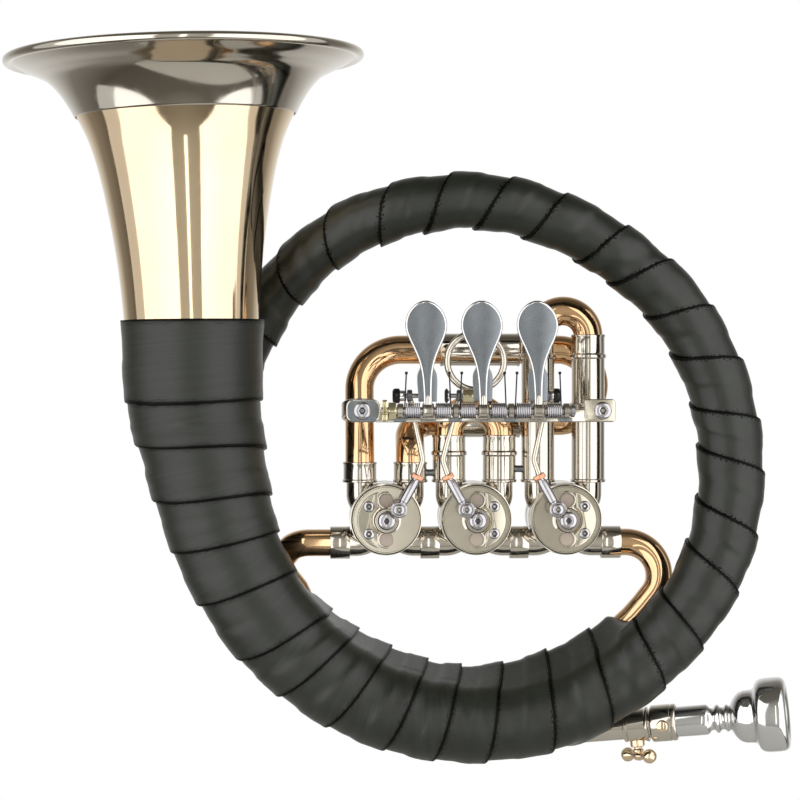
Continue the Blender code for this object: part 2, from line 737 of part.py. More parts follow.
def casing(number):
    """A drum bored for its rotor, with a port to each side and two knuckles above.

    The middle one carries the bridge sleeves that its neighbours' ports end in.
    """
    x = valve_x(number)
    drum = rod((x, CASING_FRONT, VALVE_Z), (x, CASING_BACK, VALVE_Z), CASING_RADIUS, 20)
    inner = 5 * MM
    left_end = x - VALVE_SPACING / 2 + GAP / 2
    right_end = x + VALVE_SPACING / 2 - GAP / 2
    if number == 0:
        left_end = RUN_LEFT_X + RUN_SLEEVE_LENGTH / 2 + GAP / 2
    if number == 2:
        right_end = RUN_RIGHT_X - RUN_SLEEVE_LENGTH / 2 - GAP / 2
    ports = [
        ((x - inner, TUBE_PLANE, RUN_Z), (left_end, TUBE_PLANE, RUN_Z)),
        ((x + inner, TUBE_PLANE, RUN_Z), (right_end, TUBE_PLANE, RUN_Z)),
    ]
    for sign in (-1, 1):
        leg_x = x + sign * PORT_OFFSET
        ports.append(((leg_x, TUBE_PLANE, VALVE_Z + inner), (leg_x, TUBE_PLANE, KNUCKLE_TOP)))
    drum = joined(drum, *[rod(start, end, PIPE_RADIUS, 10) for start, end in ports])
    bores = []
    if number == 1:
        for sign in (-1, 1):
            bridge = x + sign * VALVE_SPACING / 2
            near = bridge - sign * RUN_BRIDGE_HALF
            far = bridge + sign * RUN_BRIDGE_HALF
            meeting = bridge - sign * GAP / 2
            beyond = far + sign * MM
            drum = joined(drum, rod((near, TUBE_PLANE, RUN_Z), (far, TUBE_PLANE, RUN_Z), RUN_SLEEVE_RADIUS, 12))
            bores.append(rod((meeting, TUBE_PLANE, RUN_Z), (beyond, TUBE_PLANE, RUN_Z), RUN_SLEEVE_BORE, 12))
    for start, end in ports:
        along = (Vector(end) - Vector(start)).normalized() * MM
        bores.append(rod(Vector(start) + along, Vector(end) + along, PORT_BORE, 10))
    front = (x, CASING_FRONT - MM, VALVE_Z)
    back = (x, CASING_BACK + MM, VALVE_Z)
    chamber = rod(front, back, ROTOR_RADIUS + ROTOR_CLEARANCE, 20)
    kept(cut(drum, chamber, *bores), f"casing_{number + 1}", "bronze_tube")


def rear_cap(number):
    """A domed cap whose blind hole carries the rear of the spindle."""
    hole = SPINDLE_RADIUS + GAP
    depth = 2.0 * MM
    profile = [
        (0.0, REAR_CAP_THICKNESS), (REAR_CAP_RADIUS * 0.9, REAR_CAP_THICKNESS * 0.8),
        (REAR_CAP_RADIUS, 0.0), (hole, 0.0), (hole, depth), (0.0, depth),
    ]
    place = (valve_x(number), CASING_BACK + GAP, VALVE_Z)
    kept(turned(profile, 16, place, (0, 1, 0)), f"rear_cap_{number + 1}", "nickel_silver")


def front_cover(number):
    """The bearing plate on the front of a casing, with a raised rim."""
    hole = SPINDLE_RADIUS + GAP
    top = COVER_THICKNESS + COVER_RIM_HEIGHT
    profile = [
        (COVER_RADIUS - COVER_RIM_WIDTH, COVER_THICKNESS), (COVER_RADIUS - COVER_RIM_WIDTH, top),
        (COVER_RADIUS, top), (COVER_RADIUS, 0.0), (hole, 0.0), (hole, COVER_THICKNESS),
    ]
    place = (valve_x(number), CASING_FRONT - GAP, VALVE_Z)
    kept(turned(profile, 20, place, (0, -1, 0)), f"front_cover_{number + 1}", "nickel_silver")


def bumper_plate(number):
    """The half-moon that holds the stop corks, on the side away from the crank."""
    side = -VALVE_SIDE[number]
    place = Vector((valve_x(number), COVER_FACE - GAP - PLATE_THICKNESS / 2, VALVE_Z))
    sweep = np.linspace(-PLATE_END, PLATE_END, 9)
    outline = [(side * PLATE_OUTER * math.cos(turn), PLATE_OUTER * math.sin(turn)) for turn in sweep]
    outline += [(side * PLATE_INNER * math.cos(turn), PLATE_INNER * math.sin(turn)) for turn in sweep[::-1]]
    shape = plate(outline, PLATE_THICKNESS / 2, place)
    for sign in (-1, 1):
        head = place + Vector((
            side * PLATE_SCREW_AT * math.cos(PLATE_SCREW_ANGLE), 0,
            sign * PLATE_SCREW_AT * math.sin(PLATE_SCREW_ANGLE),
        ))
        front = head - Vector((0, PLATE_THICKNESS / 2 + PLATE_SCREW_HEIGHT, 0))
        shape = joined(shape, rod(head, front, PLATE_SCREW_RADIUS, 10))
    kept(shape, f"bumper_plate_{number + 1}", "nickel_silver")


CRANK_BACK = COVER_FACE - GAP
CRANK_FRONT = CRANK_BACK - CRANK_HUB_LENGTH


def crank_pin(number):
    """Where a crank's pin stands at rest."""
    return Vector((
        valve_x(number) + VALVE_SIDE[number] * CRANK_RADIUS * math.cos(CRANK_REST),
        LINK_Y,
        VALVE_Z + CRANK_RADIUS * math.sin(CRANK_REST),
    ))


def rotor(number):
    """The rotor with its two passages and its spindle, which ends inside the stop arm."""
    x = valve_x(number)
    front = CASING_FRONT + ROTOR_CLEARANCE
    back = CASING_BACK - ROTOR_CLEARANCE
    body = rod((x, front, VALVE_Z), (x, back, VALVE_Z), ROTOR_RADIUS, 16)
    spindle_front = CRANK_FRONT + 2 * MM
    spindle_back = CASING_BACK + 1.8 * MM
    body = joined(body, rod((x, spindle_front, VALVE_Z), (x, spindle_back, VALVE_Z), SPINDLE_RADIUS, 10))
    reach = ROTOR_RADIUS + 2 * MM
    for sign in (-1, 1):
        z = VALVE_Z + sign * ROTOR_PASSAGE_OFFSET
        body = cut(body, rod((x - reach, TUBE_PLANE, z), (x + reach, TUBE_PLANE, z), ROTOR_PASSAGE, 8))
    kept(body, f"rotor_{number + 1}", "gold_brass", Vector((x, TUBE_PLANE, VALVE_Z)))


def hull(circles, count=6):
    """The outline round two circles of (x, z, radius)."""
    (x0, z0, r0), (x1, z1, r1) = circles
    heading = math.atan2(z1 - z0, x1 - x0)
    lean = math.asin((r0 - r1) / math.hypot(x1 - x0, z1 - z0))
    outline = []
    ends = (
        (circles[1], heading, math.pi / 2 - lean),
        (circles[0], heading + math.pi, math.pi / 2 + lean),
    )
    for (x, z, radius), middle, half in ends:
        for turn in np.linspace(middle - half, middle + half, count):
            outline.append((x + radius * math.cos(turn), z + radius * math.sin(turn)))
    return outline


def stop_arm(number):
    """The crank on the end of the spindle: hub, arm, pin for the link and centre screw."""
    x = valve_x(number)
    pin = crank_pin(number)
    shape = rod((x, CRANK_BACK, VALVE_Z), (x, CRANK_FRONT, VALVE_Z), CRANK_HUB_RADIUS, 14)
    outline = hull([(0, 0, 3.4 * MM), (pin.x - x, pin.z - VALVE_Z, CRANK_BOSS_RADIUS)])
    arm = plate(outline, CRANK_THICKNESS / 2, (x, CRANK_FRONT + CRANK_THICKNESS / 2 + 0.2 * MM, VALVE_Z))
    head_back = LINK_Y - LINK_HEAD_LENGTH / 2 - GAP
    pin_rod = rod((pin.x, CRANK_FRONT + MM, pin.z), (pin.x, head_back - 0.5 * MM, pin.z), CRANK_PIN_RADIUS, 8)
    pin_head = rod((pin.x, head_back, pin.z), (pin.x, head_back - 0.9 * MM, pin.z), 2.0 * MM, 8)
    screw = turned(
        [(0.0, SPINDLE_SCREW_HEIGHT), (SPINDLE_SCREW_RADIUS * 0.6, SPINDLE_SCREW_HEIGHT * 0.85),
         (SPINDLE_SCREW_RADIUS, SPINDLE_SCREW_HEIGHT * 0.35), (SPINDLE_SCREW_RADIUS, -MM), (0.0, -MM)],
        12, (x, CRANK_FRONT, VALVE_Z), (0, -1, 0),
    )
    shape = joined(shape, arm, pin_rod, pin_head, screw)
    bore = rod((x, CRANK_BACK + MM, VALVE_Z), (x, CRANK_FRONT + 1.7 * MM, VALVE_Z), SPINDLE_RADIUS + GAP, 10)
    kept(cut(shape, bore), f"stop_arm_{number + 1}", "nickel_silver", Vector((x, CRANK_BACK, VALVE_Z)))


# Main run and loops

def run_sleeves():
    bore = RUN_SLEEVE_RADIUS - RUN_SLEEVE_BORE
    spans = [
        ("run_sleeve_left", RUN_LEFT_X, RUN_LEFT_X + RUN_SLEEVE_LENGTH),
        ("run_sleeve_right", RUN_RIGHT_X - RUN_SLEEVE_LENGTH, RUN_RIGHT_X),
    ]
    for name, left, right in spans:
        line = [Vector((left, TUBE_PLANE, RUN_Z)), Vector((right, TUBE_PLANE, RUN_Z))]
        kept(hollow(line, RUN_SLEEVE_RADIUS, bore, 12), name, "nickel_silver")


def sleeve(start, end, ring_at=None):
    """An outer slide leg, with a ring at a distance from its start."""
    start = Vector(start)
    end = Vector(end)
    along = (end - start).normalized()
    shape = rod(start, end, SLEEVE_RADIUS, 12)
    if ring_at is not None:
        ring = [
            (RING_RADIUS, RING_LENGTH * 0.25), (RING_RADIUS, -RING_LENGTH * 0.25),
            (SLEEVE_RADIUS - 0.2 * MM, -RING_LENGTH / 2), (SLEEVE_RADIUS - 0.2 * MM, RING_LENGTH / 2),
        ]
        shape = joined(shape, turned(ring, 12, start + along * ring_at, along))
    return cut(shape, rod(start - along * MM, end + along * MM, SLEEVE_BORE, 12))


def leg(number, sign, top, ring=None):
    """The outer leg above one knuckle of a valve."""
    x = valve_x(number) + sign * PORT_OFFSET
    ring_at = None if ring is None else ring - LEG_FOOT
    return sleeve((x, TUBE_PLANE, LEG_FOOT), (x, TUBE_PLANE, top), ring_at)


def brace(x, z):
    """A short bar between two neighbouring legs, ending in the wall of each."""
    reach = VALVE_SPACING / 2 - PORT_OFFSET - SLEEVE_RADIUS + 0.46 * MM
    return rod((x - reach, TUBE_PLANE, z), (x + reach, TUBE_PLANE, z), BRACE_RADIUS, 10)


def legs():
    between_left = valve_x(0) + VALVE_SPACING / 2
    between_right = valve_x(1) + VALVE_SPACING / 2
    long_short = joined(
        leg(0, 1, LONG_FERRULE_TOP), leg(1, -1, SHORT_TOP, SHORT_RING), brace(between_left, BRACE_Z[0])
    )
    kept(long_short, "legs_long_short", "nickel_silver")
    short_tall = joined(
        leg(1, 1, SHORT_TOP, SHORT_RING), leg(2, -1, TALL_TOP, TALL_RING), brace(between_right, BRACE_Z[1])
    )
    kept(short_tall, "legs_short_tall", "nickel_silver")
    kept(leg(2, 1, TALL_TOP, TALL_RING), "leg_tall", "nickel_silver")
    kept(leg(0, -1, LONG_FERRULE_TOP), "leg_long", "nickel_silver")


def crook(name, first, second, outward, engaged):
    """A slide: two legs joined by a half circle, each reaching some way into its sleeve."""
    first = Vector(first)
    second = Vector(second)
    middle = (first + second) / 2
    radius = (second - first).length / 2
    side = Vector(outward)
    arc = [
        middle + (first - middle) * math.cos(turn) + side * radius * math.sin(turn)
        for turn in np.linspace(0, math.pi, 9)
    ]
    line = [first - side * engaged, *arc, second - side * engaged]
    kept(hollow(line, CROOK_RADIUS, TUBE_WALL, 10), name, "bronze_tube", middle)


def slides():
    short_centre = SHORT_TOP + 0.5 * MM
    left, right = valve_x(1) - PORT_OFFSET, valve_x(1) + PORT_OFFSET
    crook(
        "slide_short", (left, TUBE_PLANE, short_centre), (right, TUBE_PLANE, short_centre), (0, 0, 1),
        short_centre - SHORT_TOP + SHORT_ENGAGED,
    )
    left, right = valve_x(2) - PORT_OFFSET, valve_x(2) + PORT_OFFSET
    tall_centre = TALL_TOP - 0.7 * MM
    crook(
        "slide_tall", (left, TUBE_PLANE, tall_centre), (right, TUBE_PLANE, tall_centre), (0, 0, 1),
        tall_centre - TALL_TOP + TALL_ENGAGED,
    )
    reach = LONG_REACH - CROOK_RADIUS - (LONG_HIGH - LONG_LOW) / 2
    crook(
        "slide_long", (reach, LONG_PLANE, LONG_LOW), (reach, LONG_PLANE, LONG_HIGH), (1, 0, 0),
        reach - LONG_SLEEVE[1] + LONG_ENGAGED,
    )


def long_loop():
    """The left valve's fixed tubes, leaning back behind the other loops, and their sleeves."""
    left = valve_x(0) - PORT_OFFSET
    right = valve_x(0) + PORT_OFFSET
    end = LONG_SLEEVE[0] + LONG_ENTRY
    foot = LEG_FOOT + GAP
    high = rounded(
        [
            (left, TUBE_PLANE, foot), (left, TUBE_PLANE, LONG_LEAN_FROM),
            (left, LONG_PLANE, LONG_HIGH), (end, LONG_PLANE, LONG_HIGH),
        ],
        [15 * MM, LONG_CORNER],
    )
    kept(hollow(high, CROOK_RADIUS, TUBE_WALL, 10), "long_tube_high", "bronze_tube")
    low = rounded(
        [
            (right, TUBE_PLANE, foot), (right, TUBE_PLANE, 2.6 * MM),
            (right, LONG_PLANE, LONG_LOW), (end, LONG_PLANE, LONG_LOW),
        ],
        [8 * MM, LONG_ELBOW],
    )
    kept(hollow(low, CROOK_RADIUS, TUBE_WALL, 10), "long_tube_low", "bronze_tube")
    kept(
        sleeve((LONG_SLEEVE[0], LONG_PLANE, LONG_LOW), (LONG_SLEEVE[1], LONG_PLANE, LONG_LOW)),
        "long_sleeve_low", "nickel_silver",
    )
    kept(finger_ring(), "long_sleeve_high", "nickel_silver")


def finger_ring():
    """The upper sleeve with the ring for the little finger on two feet."""
    left, right = LONG_SLEEVE
    shape = rod((left, LONG_PLANE, LONG_HIGH), (right, LONG_PLANE, LONG_HIGH), SLEEVE_RADIUS, 12)
    section = [
        (FINGER_RING_RADIUS + FINGER_RING_WIRE * math.cos(tilt), FINGER_RING_WIRE * math.sin(tilt))
        for tilt in np.linspace(0, 2 * math.pi, 6, endpoint=False)
    ]
    ring = turned(section, 20, (LEVER_MIDDLE_X, FINGER_RING_Y, FINGER_RING_Z), (0, -1, 0))
    shape = joined(shape, ring)
    reach = math.sqrt(FINGER_RING_RADIUS**2 - (LONG_HIGH - FINGER_RING_Z) ** 2)
    foot_end = LONG_PLANE - SLEEVE_RADIUS + MM
    for sign in (-1, 1):
        x = LEVER_MIDDLE_X + sign * reach
        foot = rod((x, FINGER_RING_Y, LONG_HIGH), (x, foot_end, LONG_HIGH), FINGER_RING_WIRE, 8)
        shape = joined(shape, foot)
    bore = rod((left - MM, LONG_PLANE, LONG_HIGH), (right + MM, LONG_PLANE, LONG_HIGH), SLEEVE_BORE, 12)
    return cut(shape, bore)


# Hinge, levers and links

def hub_x(number):
    return LEVER_MIDDLE_X + (number - 1) * LEVER_SPACING


def hinge_rail():
    """The rail behind the hinge rod, with its four bearings and the two end screws."""
    front = HINGE_Y + RAIL_BEHIND
    low = HINGE_Z - RAIL_HALF_HEIGHT
    high = HINGE_Z + RAIL_HALF_HEIGHT
    shape = block((RAIL_LEFT, front, low), (RAIL_RIGHT, front + RAIL_THICKNESS, high))
    for number in range(4):
        x = hub_x(0) + (number - 0.5) * LEVER_SPACING
        left, right = x - BEARING_HALF_WIDTH, x + BEARING_HALF_WIDTH
        arm = block((left, HINGE_Y, HINGE_Z - 2.2 * MM), (right, front + MM, HINGE_Z + 2.2 * MM))
        proud = 0.05 * MM
        boss = rod((left - proud, HINGE_Y, HINGE_Z), (right + proud, HINGE_Y, HINGE_Z), BEARING_RADIUS, 12)
        shape = joined(shape, arm, boss)
    for x in (valve_x(0) - PORT_OFFSET, valve_x(2) + PORT_OFFSET):
        head_front = front - RAIL_SCREW_HEIGHT
        shape = joined(shape, rod((x, front + MM, HINGE_Z), (x, head_front, HINGE_Z), RAIL_SCREW_RADIUS, 12))
    span = ((RAIL_LEFT, HINGE_Y, HINGE_Z), (RAIL_RIGHT, HINGE_Y, HINGE_Z))
    shape = cut(shape, rod(*span, HINGE_ROD_RADIUS + GAP, 10))
    kept(shape, "hinge_rail", "nickel_silver")


def hinge_rod():
    """The rod that the levers turn on, with a knurled ring and a nut outside the first bearing."""
    first = hub_x(0) - LEVER_SPACING / 2 - BEARING_HALF_WIDTH
    last = hub_x(2) + LEVER_SPACING / 2 + BEARING_HALF_WIDTH

    def along(left, right, radius, sides):
        return rod((left, HINGE_Y, HINGE_Z), (right, HINGE_Y, HINGE_Z), radius, sides)

    shape = along(ROD_ENDS[0], ROD_ENDS[1], HINGE_ROD_RADIUS, 14)
    nut = along(first - 0.4 * MM - 2.9 * MM, first - 0.4 * MM, 2.9 * MM, 6)
    ring = along(first - 5.6 * MM, first - 3.8 * MM, 3.1 * MM, 14)
    head = along(last + 0.4 * MM, last + 2.0 * MM, 2.5 * MM, 16)
    kept(joined(shape, nut, ring, head), "hinge_rod", "steel")


def post(name, x, tube_centre, tube_axis, tube_radius):
    """A post from the rail back to a clamp round an outer leg."""
    axis = Vector(tube_axis).normalized()
    centre = Vector(tube_centre)
    front = Vector((x, HINGE_Y + RAIL_BEHIND + RAIL_THICKNESS + GAP, HINGE_Z))
    outer = tube_radius + GAP + CLAMP_WALL
    shape = rod(centre - axis * CLAMP_HALF, centre + axis * CLAMP_HALF, outer, 12)
    bar = rod(front, centre - Vector((0, tube_radius + 0.8 * MM, 0)), POST_RADIUS, 10)
    flange = rod(front, front + Vector((0, 1.8 * MM, 0)), 3.9 * MM, 10)
    shape = joined(shape, bar, flange)
    inside = rod(centre - axis * 3 * CLAMP_HALF, centre + axis * 3 * CLAMP_HALF, tube_radius + GAP, 12)
    kept(cut(shape, inside), name, "nickel_silver")


def posts():
    lean = Vector((0, LONG_PLANE - TUBE_PLANE, LONG_HIGH - LONG_LEAN_FROM))
    left = valve_x(0) - PORT_OFFSET
    share = (HINGE_Z - LONG_LEAN_FROM) / lean.z
    post("post_left", left, (left, TUBE_PLANE + lean.y * share, HINGE_Z), lean, CROOK_RADIUS)
    right = valve_x(2) + PORT_OFFSET
    post("post_right", right, (right, TUBE_PLANE, HINGE_Z), (0, 0, 1), SLEEVE_RADIUS)


def springs():
    """Double torsion springs: a coil on each side of a hub, joined below it, with two long tails."""
    count = SPRING_CURLS * SPRING_POINTS
    smallest = []
    for number in range(3):
        half = []
        for index in range(count + 1):
            turn = math.pi * 1.5 + 2 * math.pi * index / SPRING_POINTS
            half.append(Vector((
                SPRING_START + SPRING_LENGTH * index / count,
                SPRING_RADIUS * math.cos(turn),
                SPRING_RADIUS * math.sin(turn),
            )))
        last = half[-1]
        half.append(last + Vector((0.25 * MM, 1.9 * MM, 1.2 * MM)))
        half.append(half[-1] + Vector((0.25 * MM, 0.3 * MM, 2.6 * MM)))
        half.append(last + Vector((-0.3 * MM, 1.6 * MM, SPRING_RADIUS + SPRING_TAIL)))
        under = SPRING_HUB_DROP
        half.insert(0, Vector((SPRING_START - 0.1 * MM, -0.2 * MM, -under)))
        mirrored = [Vector((-point.x, point.y, point.z)) for point in half]
        line = mirrored[::-1] + half
        centre = Vector((hub_x(number), HINGE_Y, HINGE_Z))
        smallest.append(least_gap(line))
        kept(
            tube([centre + point for point in line], SPRING_WIRE / 2, 6), f"spring_{number + 1}", "steel"
        )
    print("least gap of a spring to itself, mm:", round(min(smallest) / MM, 3))


def least_gap(line):
    """The least distance between lengths of a wire that are not neighbours, less the wire itself."""
    points = []
    for start, end in zip(line, line[1:]):
        points += [start.lerp(end, share) for share in (0.0, 0.25, 0.5, 0.75)]
    points = np.array(points)
    apart = np.linalg.norm(points[:, None] - points[None], axis=2)
    index = np.arange(len(points))
    near = np.abs(index[:, None] - index[None]) < 2 * SPRING_POINTS
    apart[near] = 1.0
    return float(apart.min()) - SPRING_WIRE


def pivot_side(number):
    """The side of its lever's arm on which a link hangs."""
    return -1 if link_top(number).x < hub_x(number) else 1


def link_top(number):
    pin = crank_pin(number)
    return Vector((
        pin.x + VALVE_SIDE[number] * LINK_TOP_OFFSET[number], LINK_Y, HINGE_Z + LEVER_ARM_RISE
    ))


def lever(number):
    """A finger lever: hub, plate, arm over the rail and the pin that the link hangs on."""
    centre = Vector((hub_x(number), HINGE_Y, HINGE_Z))
    half = LEVER_HUB_LENGTH / 2
    shape = rod(centre - Vector((half, 0, 0)), centre + Vector((half, 0, 0)), LEVER_HUB_RADIUS, 12)
    right = [(width * MM, height * MM) for height, width in LEVER_PLATE]
    left = [(-width, height) for width, height in right[::-1]]
    finger = plate(right + left, LEVER_PLATE_THICKNESS / 2, (0, 0, 0))
    finger.data.transform(Matrix.Translation(centre) @ Matrix.Rotation(LEVER_LEAN, 4, "X"))
    arm_line = rounded(
        [(0, 0, 2 * MM), (0, -0.9 * MM, LEVER_ARM_CREST), (0, LEVER_ARM_REACH, LEVER_ARM_RISE)], [3 * MM]
    )
    arm = tube([centre + point for point in arm_line], LEVER_ARM_RADIUS, 8)
    side = pivot_side(number)
    top = link_top(number)
    arm_end = Vector((centre.x, LINK_Y, top.z))
    pin_end = Vector((PIVOT_OUTER[number], LINK_Y, top.z))
    stroke = (CRANK_RADIUS * (1 - math.cos(CRANK_REST)) + LINK_LEAN_ROOM) * VALVE_SIDE[number]
    near = LINK_EYE_LENGTH / 2 + 0.35 * MM
    eye_left = top.x + min(stroke, 0) - near
    eye_right = top.x + max(stroke, 0) + near
    inner, outer = (eye_right, eye_left) if side < 0 else (eye_left, eye_right)
    across = Vector((side, 0, 0))
    pin = rod(arm_end - across * LEVER_ARM_RADIUS, pin_end - across * 0.5 * MM, PIVOT_PIN_RADIUS, 10)
    spool = rod(arm_end - across * 1.0 * MM, (inner, LINK_Y, top.z), 2.1 * MM, 6)
    knob = rod((outer, LINK_Y, top.z), pin_end, PIVOT_KNOB_RADIUS, 14)
    shape = joined(shape, finger, arm, pin, spool, knob)
    ends = (centre - Vector((2 * half, 0, 0)), centre + Vector((2 * half, 0, 0)))
    kept(cut(shape, rod(*ends, HINGE_ROD_RADIUS + GAP, 14)), f"lever_{number + 1}", "nickel_silver", centre)


def link(number):
    """A link from crank to lever: eye, barrel, lock nut, dog-legged rod and upper eye."""
    side = VALVE_SIDE[number]
    pin = crank_pin(number)
    top = link_top(number)
    nut_at = pin + Vector((side * LINK_BARREL[0], 0, LINK_BARREL[1]))
    bend = pin + Vector((side * LINK_BEND[0], 0, LINK_BEND[1]))
    length = Vector((0, LINK_HEAD_LENGTH / 2, 0))
    along = (nut_at - pin).normalized()
    shape = rod(pin - length, pin + length, LINK_HEAD_RADIUS, 12)
    barrel = rod(pin + along * 2.2 * MM, nut_at, LINK_BARREL_RADIUS, 8)
    nut = rod(nut_at - along * 0.2 * MM, nut_at + along * LINK_NUT_LENGTH, LINK_NUT_RADIUS, 6)
    shaft = tube(rounded([nut_at, bend, top], [4 * MM]), LINK_ROD_RADIUS, 8)
    eye_half = Vector((LINK_EYE_LENGTH / 2, 0, 0))
    eye = rod(top - eye_half, top + eye_half, LINK_EYE_RADIUS, 10)
    shape = joined(shape, barrel, nut, shaft, eye)
    lower_bore = rod(pin - 2 * length, pin + 2 * length, CRANK_PIN_RADIUS + GAP, 8)
    upper_bore = rod(top - 2 * eye_half, top + 2 * eye_half, PIVOT_PIN_RADIUS + LINK_EYE_CLEARANCE, 10)
    kept(cut(shape, lower_bore, upper_bore), f"link_{number + 1}", "nickel_silver", pin)


# Mouthpipe end

def clamp_collar():
    """The collar that grips the receiver's tail, with a boss for the clamp screw."""
    profile = [
        (COLLAR_BEAD_RADIUS, COLLAR[1]), (COLLAR_BEAD_RADIUS, COLLAR[1] - COLLAR_BEAD_LENGTH),
        (COLLAR_RADIUS, COLLAR[1] - COLLAR_BEAD_LENGTH), (COLLAR_RADIUS, COLLAR[0]),
        (PIPE_RADIUS + GAP, COLLAR[0]), (PIPE_RADIUS + GAP, COLLAR[1]),
    ]
    shape = turned(profile, 16, MOUTH_START, MOUTH_AXIS)
    at = mouth_at(CLAMP_AT)
    boss = rod(at + MOUTH_DOWN * 5.9 * MM, at + MOUTH_DOWN * CLAMP_BOSS_DROP, CLAMP_BOSS_RADIUS, 14)
    hole_end = at + MOUTH_DOWN * (CLAMP_BOSS_DROP + MM)
    hole = rod(at + MOUTH_DOWN * 6.9 * MM, hole_end, CLAMP_SCREW_RADIUS + GAP, 12)
    kept(cut(joined(shape, boss), hole), "clamp_collar", "gold_brass")


def clamp_screw():
    at = mouth_at(CLAMP_AT)
    bar_at = at + MOUTH_DOWN * CLAMP_BAR_DROP
    toward = Matrix.Rotation(CLAMP_BAR_YAW, 3, MOUTH_DOWN) @ MOUTH_AXIS
    shape = rod(at + MOUTH_DOWN * 7.2 * MM, bar_at, CLAMP_SCREW_RADIUS, 8)
    bar = rod(bar_at - toward * CLAMP_BAR_HALF, bar_at + toward * CLAMP_BAR_HALF, CLAMP_BAR_RADIUS, 8)
    ends = [ball(bar_at + toward * CLAMP_BAR_HALF * sign, CLAMP_BALL_RADIUS) for sign in (-1, 1)]
    kept(joined(shape, bar, *ends), "clamp_screw", "gold_brass", at)


def receiver():
    """The receiver: a socket for the mouthpiece, a tail inside the mouthpipe and a stud on its side."""
    face = RECEIVER[1]
    start = RECEIVER[0]
    profile = [
        (RECEIVER_RADIUS * 0.93, face), (RECEIVER_RADIUS, face - 0.8 * MM),
        (RECEIVER_RADIUS, start + 0.8 * MM), (RECEIVER_RADIUS * 0.9, start),
        (RECEIVER_TAIL_RADIUS, start), (RECEIVER_TAIL_RADIUS, start - RECEIVER_TAIL),
        (RECEIVER_TAIL_BORE, start - RECEIVER_TAIL), (RECEIVER_TAIL_BORE, face - RECEIVER_SOCKET),
        (RECEIVER_SOCKET_RADIUS, face - RECEIVER_SOCKET), (RECEIVER_SOCKET_RADIUS, face),
    ]
    shape = turned(profile, 18, MOUTH_START, MOUTH_AXIS)
    at = mouth_at((start + face) / 2)
    stud_end = at + MOUTH_FRONT * (RECEIVER_RADIUS + STUD_HEIGHT)
    stud = rod(at + MOUTH_FRONT * (RECEIVER_RADIUS - 0.6 * MM), stud_end, STUD_RADIUS, 14)
    kept(joined(shape, stud), "mouthpiece_receiver", "nickel_silver", mouth_at(start))


def mouthpiece():
    outer = [(radius * MM, distance * MM) for distance, radius in MOUTHPIECE]
    cup = [(radius * MM, distance * MM) for distance, radius in MOUTHPIECE_CUP]
    bore = [(MOUTHPIECE_BORE * MM, MOUTHPIECE[-1][0] * MM)]
    face = mouth_at(RECEIVER[1])
    kept(turned(outer + bore + cup, 18, face, MOUTH_AXIS), "mouthpiece", "silver_plate", face)


bell()
garland()
coil_tube()
return_tube()
mouthpipe()
inlet_tube()
wraps()
for valve in range(3):
    casing(valve)
    rear_cap(valve)
    front_cover(valve)
    bumper_plate(valve)
    rotor(valve)
    stop_arm(valve)
    lever(valve)
    link(valve)
run_sleeves()
legs()
slides()
long_loop()
hinge_rail()
hinge_rod()
posts()
springs()
clamp_collar()
clamp_screw()
receiver()
mouthpiece()
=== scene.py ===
# %% [markdown]
# # A small valved horn, dressed
#
# The horn is a coil of brass tube with its bell pointing up. The coil is bound in a dark strip of leather, and
# three rotary valves with their levers sit in its middle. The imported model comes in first, as the frame: its parts
# are in metres, with the origin where the horn hangs on a peg, and the front faces -Y. Everything that this lesson
# makes is laid over those parts.

import json
import math

import bmesh
import bpy
import numpy as np
from mathutils import Matrix, Vector, noise


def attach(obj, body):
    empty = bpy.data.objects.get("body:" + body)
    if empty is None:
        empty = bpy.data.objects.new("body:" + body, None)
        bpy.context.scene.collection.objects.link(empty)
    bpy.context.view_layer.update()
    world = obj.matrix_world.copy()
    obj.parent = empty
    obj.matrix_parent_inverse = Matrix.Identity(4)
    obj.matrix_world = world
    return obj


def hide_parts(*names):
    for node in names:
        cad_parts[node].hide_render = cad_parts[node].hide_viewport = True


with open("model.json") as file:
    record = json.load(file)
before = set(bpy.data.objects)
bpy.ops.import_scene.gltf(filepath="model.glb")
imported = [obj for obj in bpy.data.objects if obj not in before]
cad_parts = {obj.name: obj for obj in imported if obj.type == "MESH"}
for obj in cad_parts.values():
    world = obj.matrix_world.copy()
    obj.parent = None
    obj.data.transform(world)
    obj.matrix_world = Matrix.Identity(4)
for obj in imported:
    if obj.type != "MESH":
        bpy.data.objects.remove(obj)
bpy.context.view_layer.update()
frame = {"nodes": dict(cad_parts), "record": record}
NODES = frame["nodes"]
MM = 0.001
PEG = Vector((0.0, 0.0, -90.481))  # from the middle of the coil to the peg, in millimetres
print("the frame brings", len(NODES), "parts")

# %% [markdown]
# ## Small tools
#
# Sizes are written in millimetres from the middle of the coil, because that is how such an instrument is drawn.
# `place` turns them into the frame's metres. Colours are written as sRGB hex, as a colour picker shows them, and
# one function makes them linear for the shader.


# %% Places and colours
def place(x, y, z):
    """A point given in millimetres from the middle of the coil, in the frame."""
    return (Vector((x, y, z)) + PEG) * MM


def colour(code, alpha=1.0):
    """An sRGB hex colour as linear numbers."""
    channels = [int(code[i:i + 2], 16) / 255 for i in (1, 3, 5)]
    linear = [c / 12.92 if c <= 0.04045 else ((c + 0.055) / 1.055) ** 2.4 for c in channels]
    return (*linear, alpha)


def node(tree, kind, settings=None, **links):
    """Adds a shader node: settings are attributes or socket values, links are sockets to join to inputs."""
    made = tree.nodes.new(kind)
    for name, value in (settings or {}).items():
        if name in made.inputs:
            made.inputs[name].default_value = value
        else:
            setattr(made, name, value)
    for name, source in links.items():
        tree.links.new(source, made.inputs[name.replace("_", " ")])
    return made


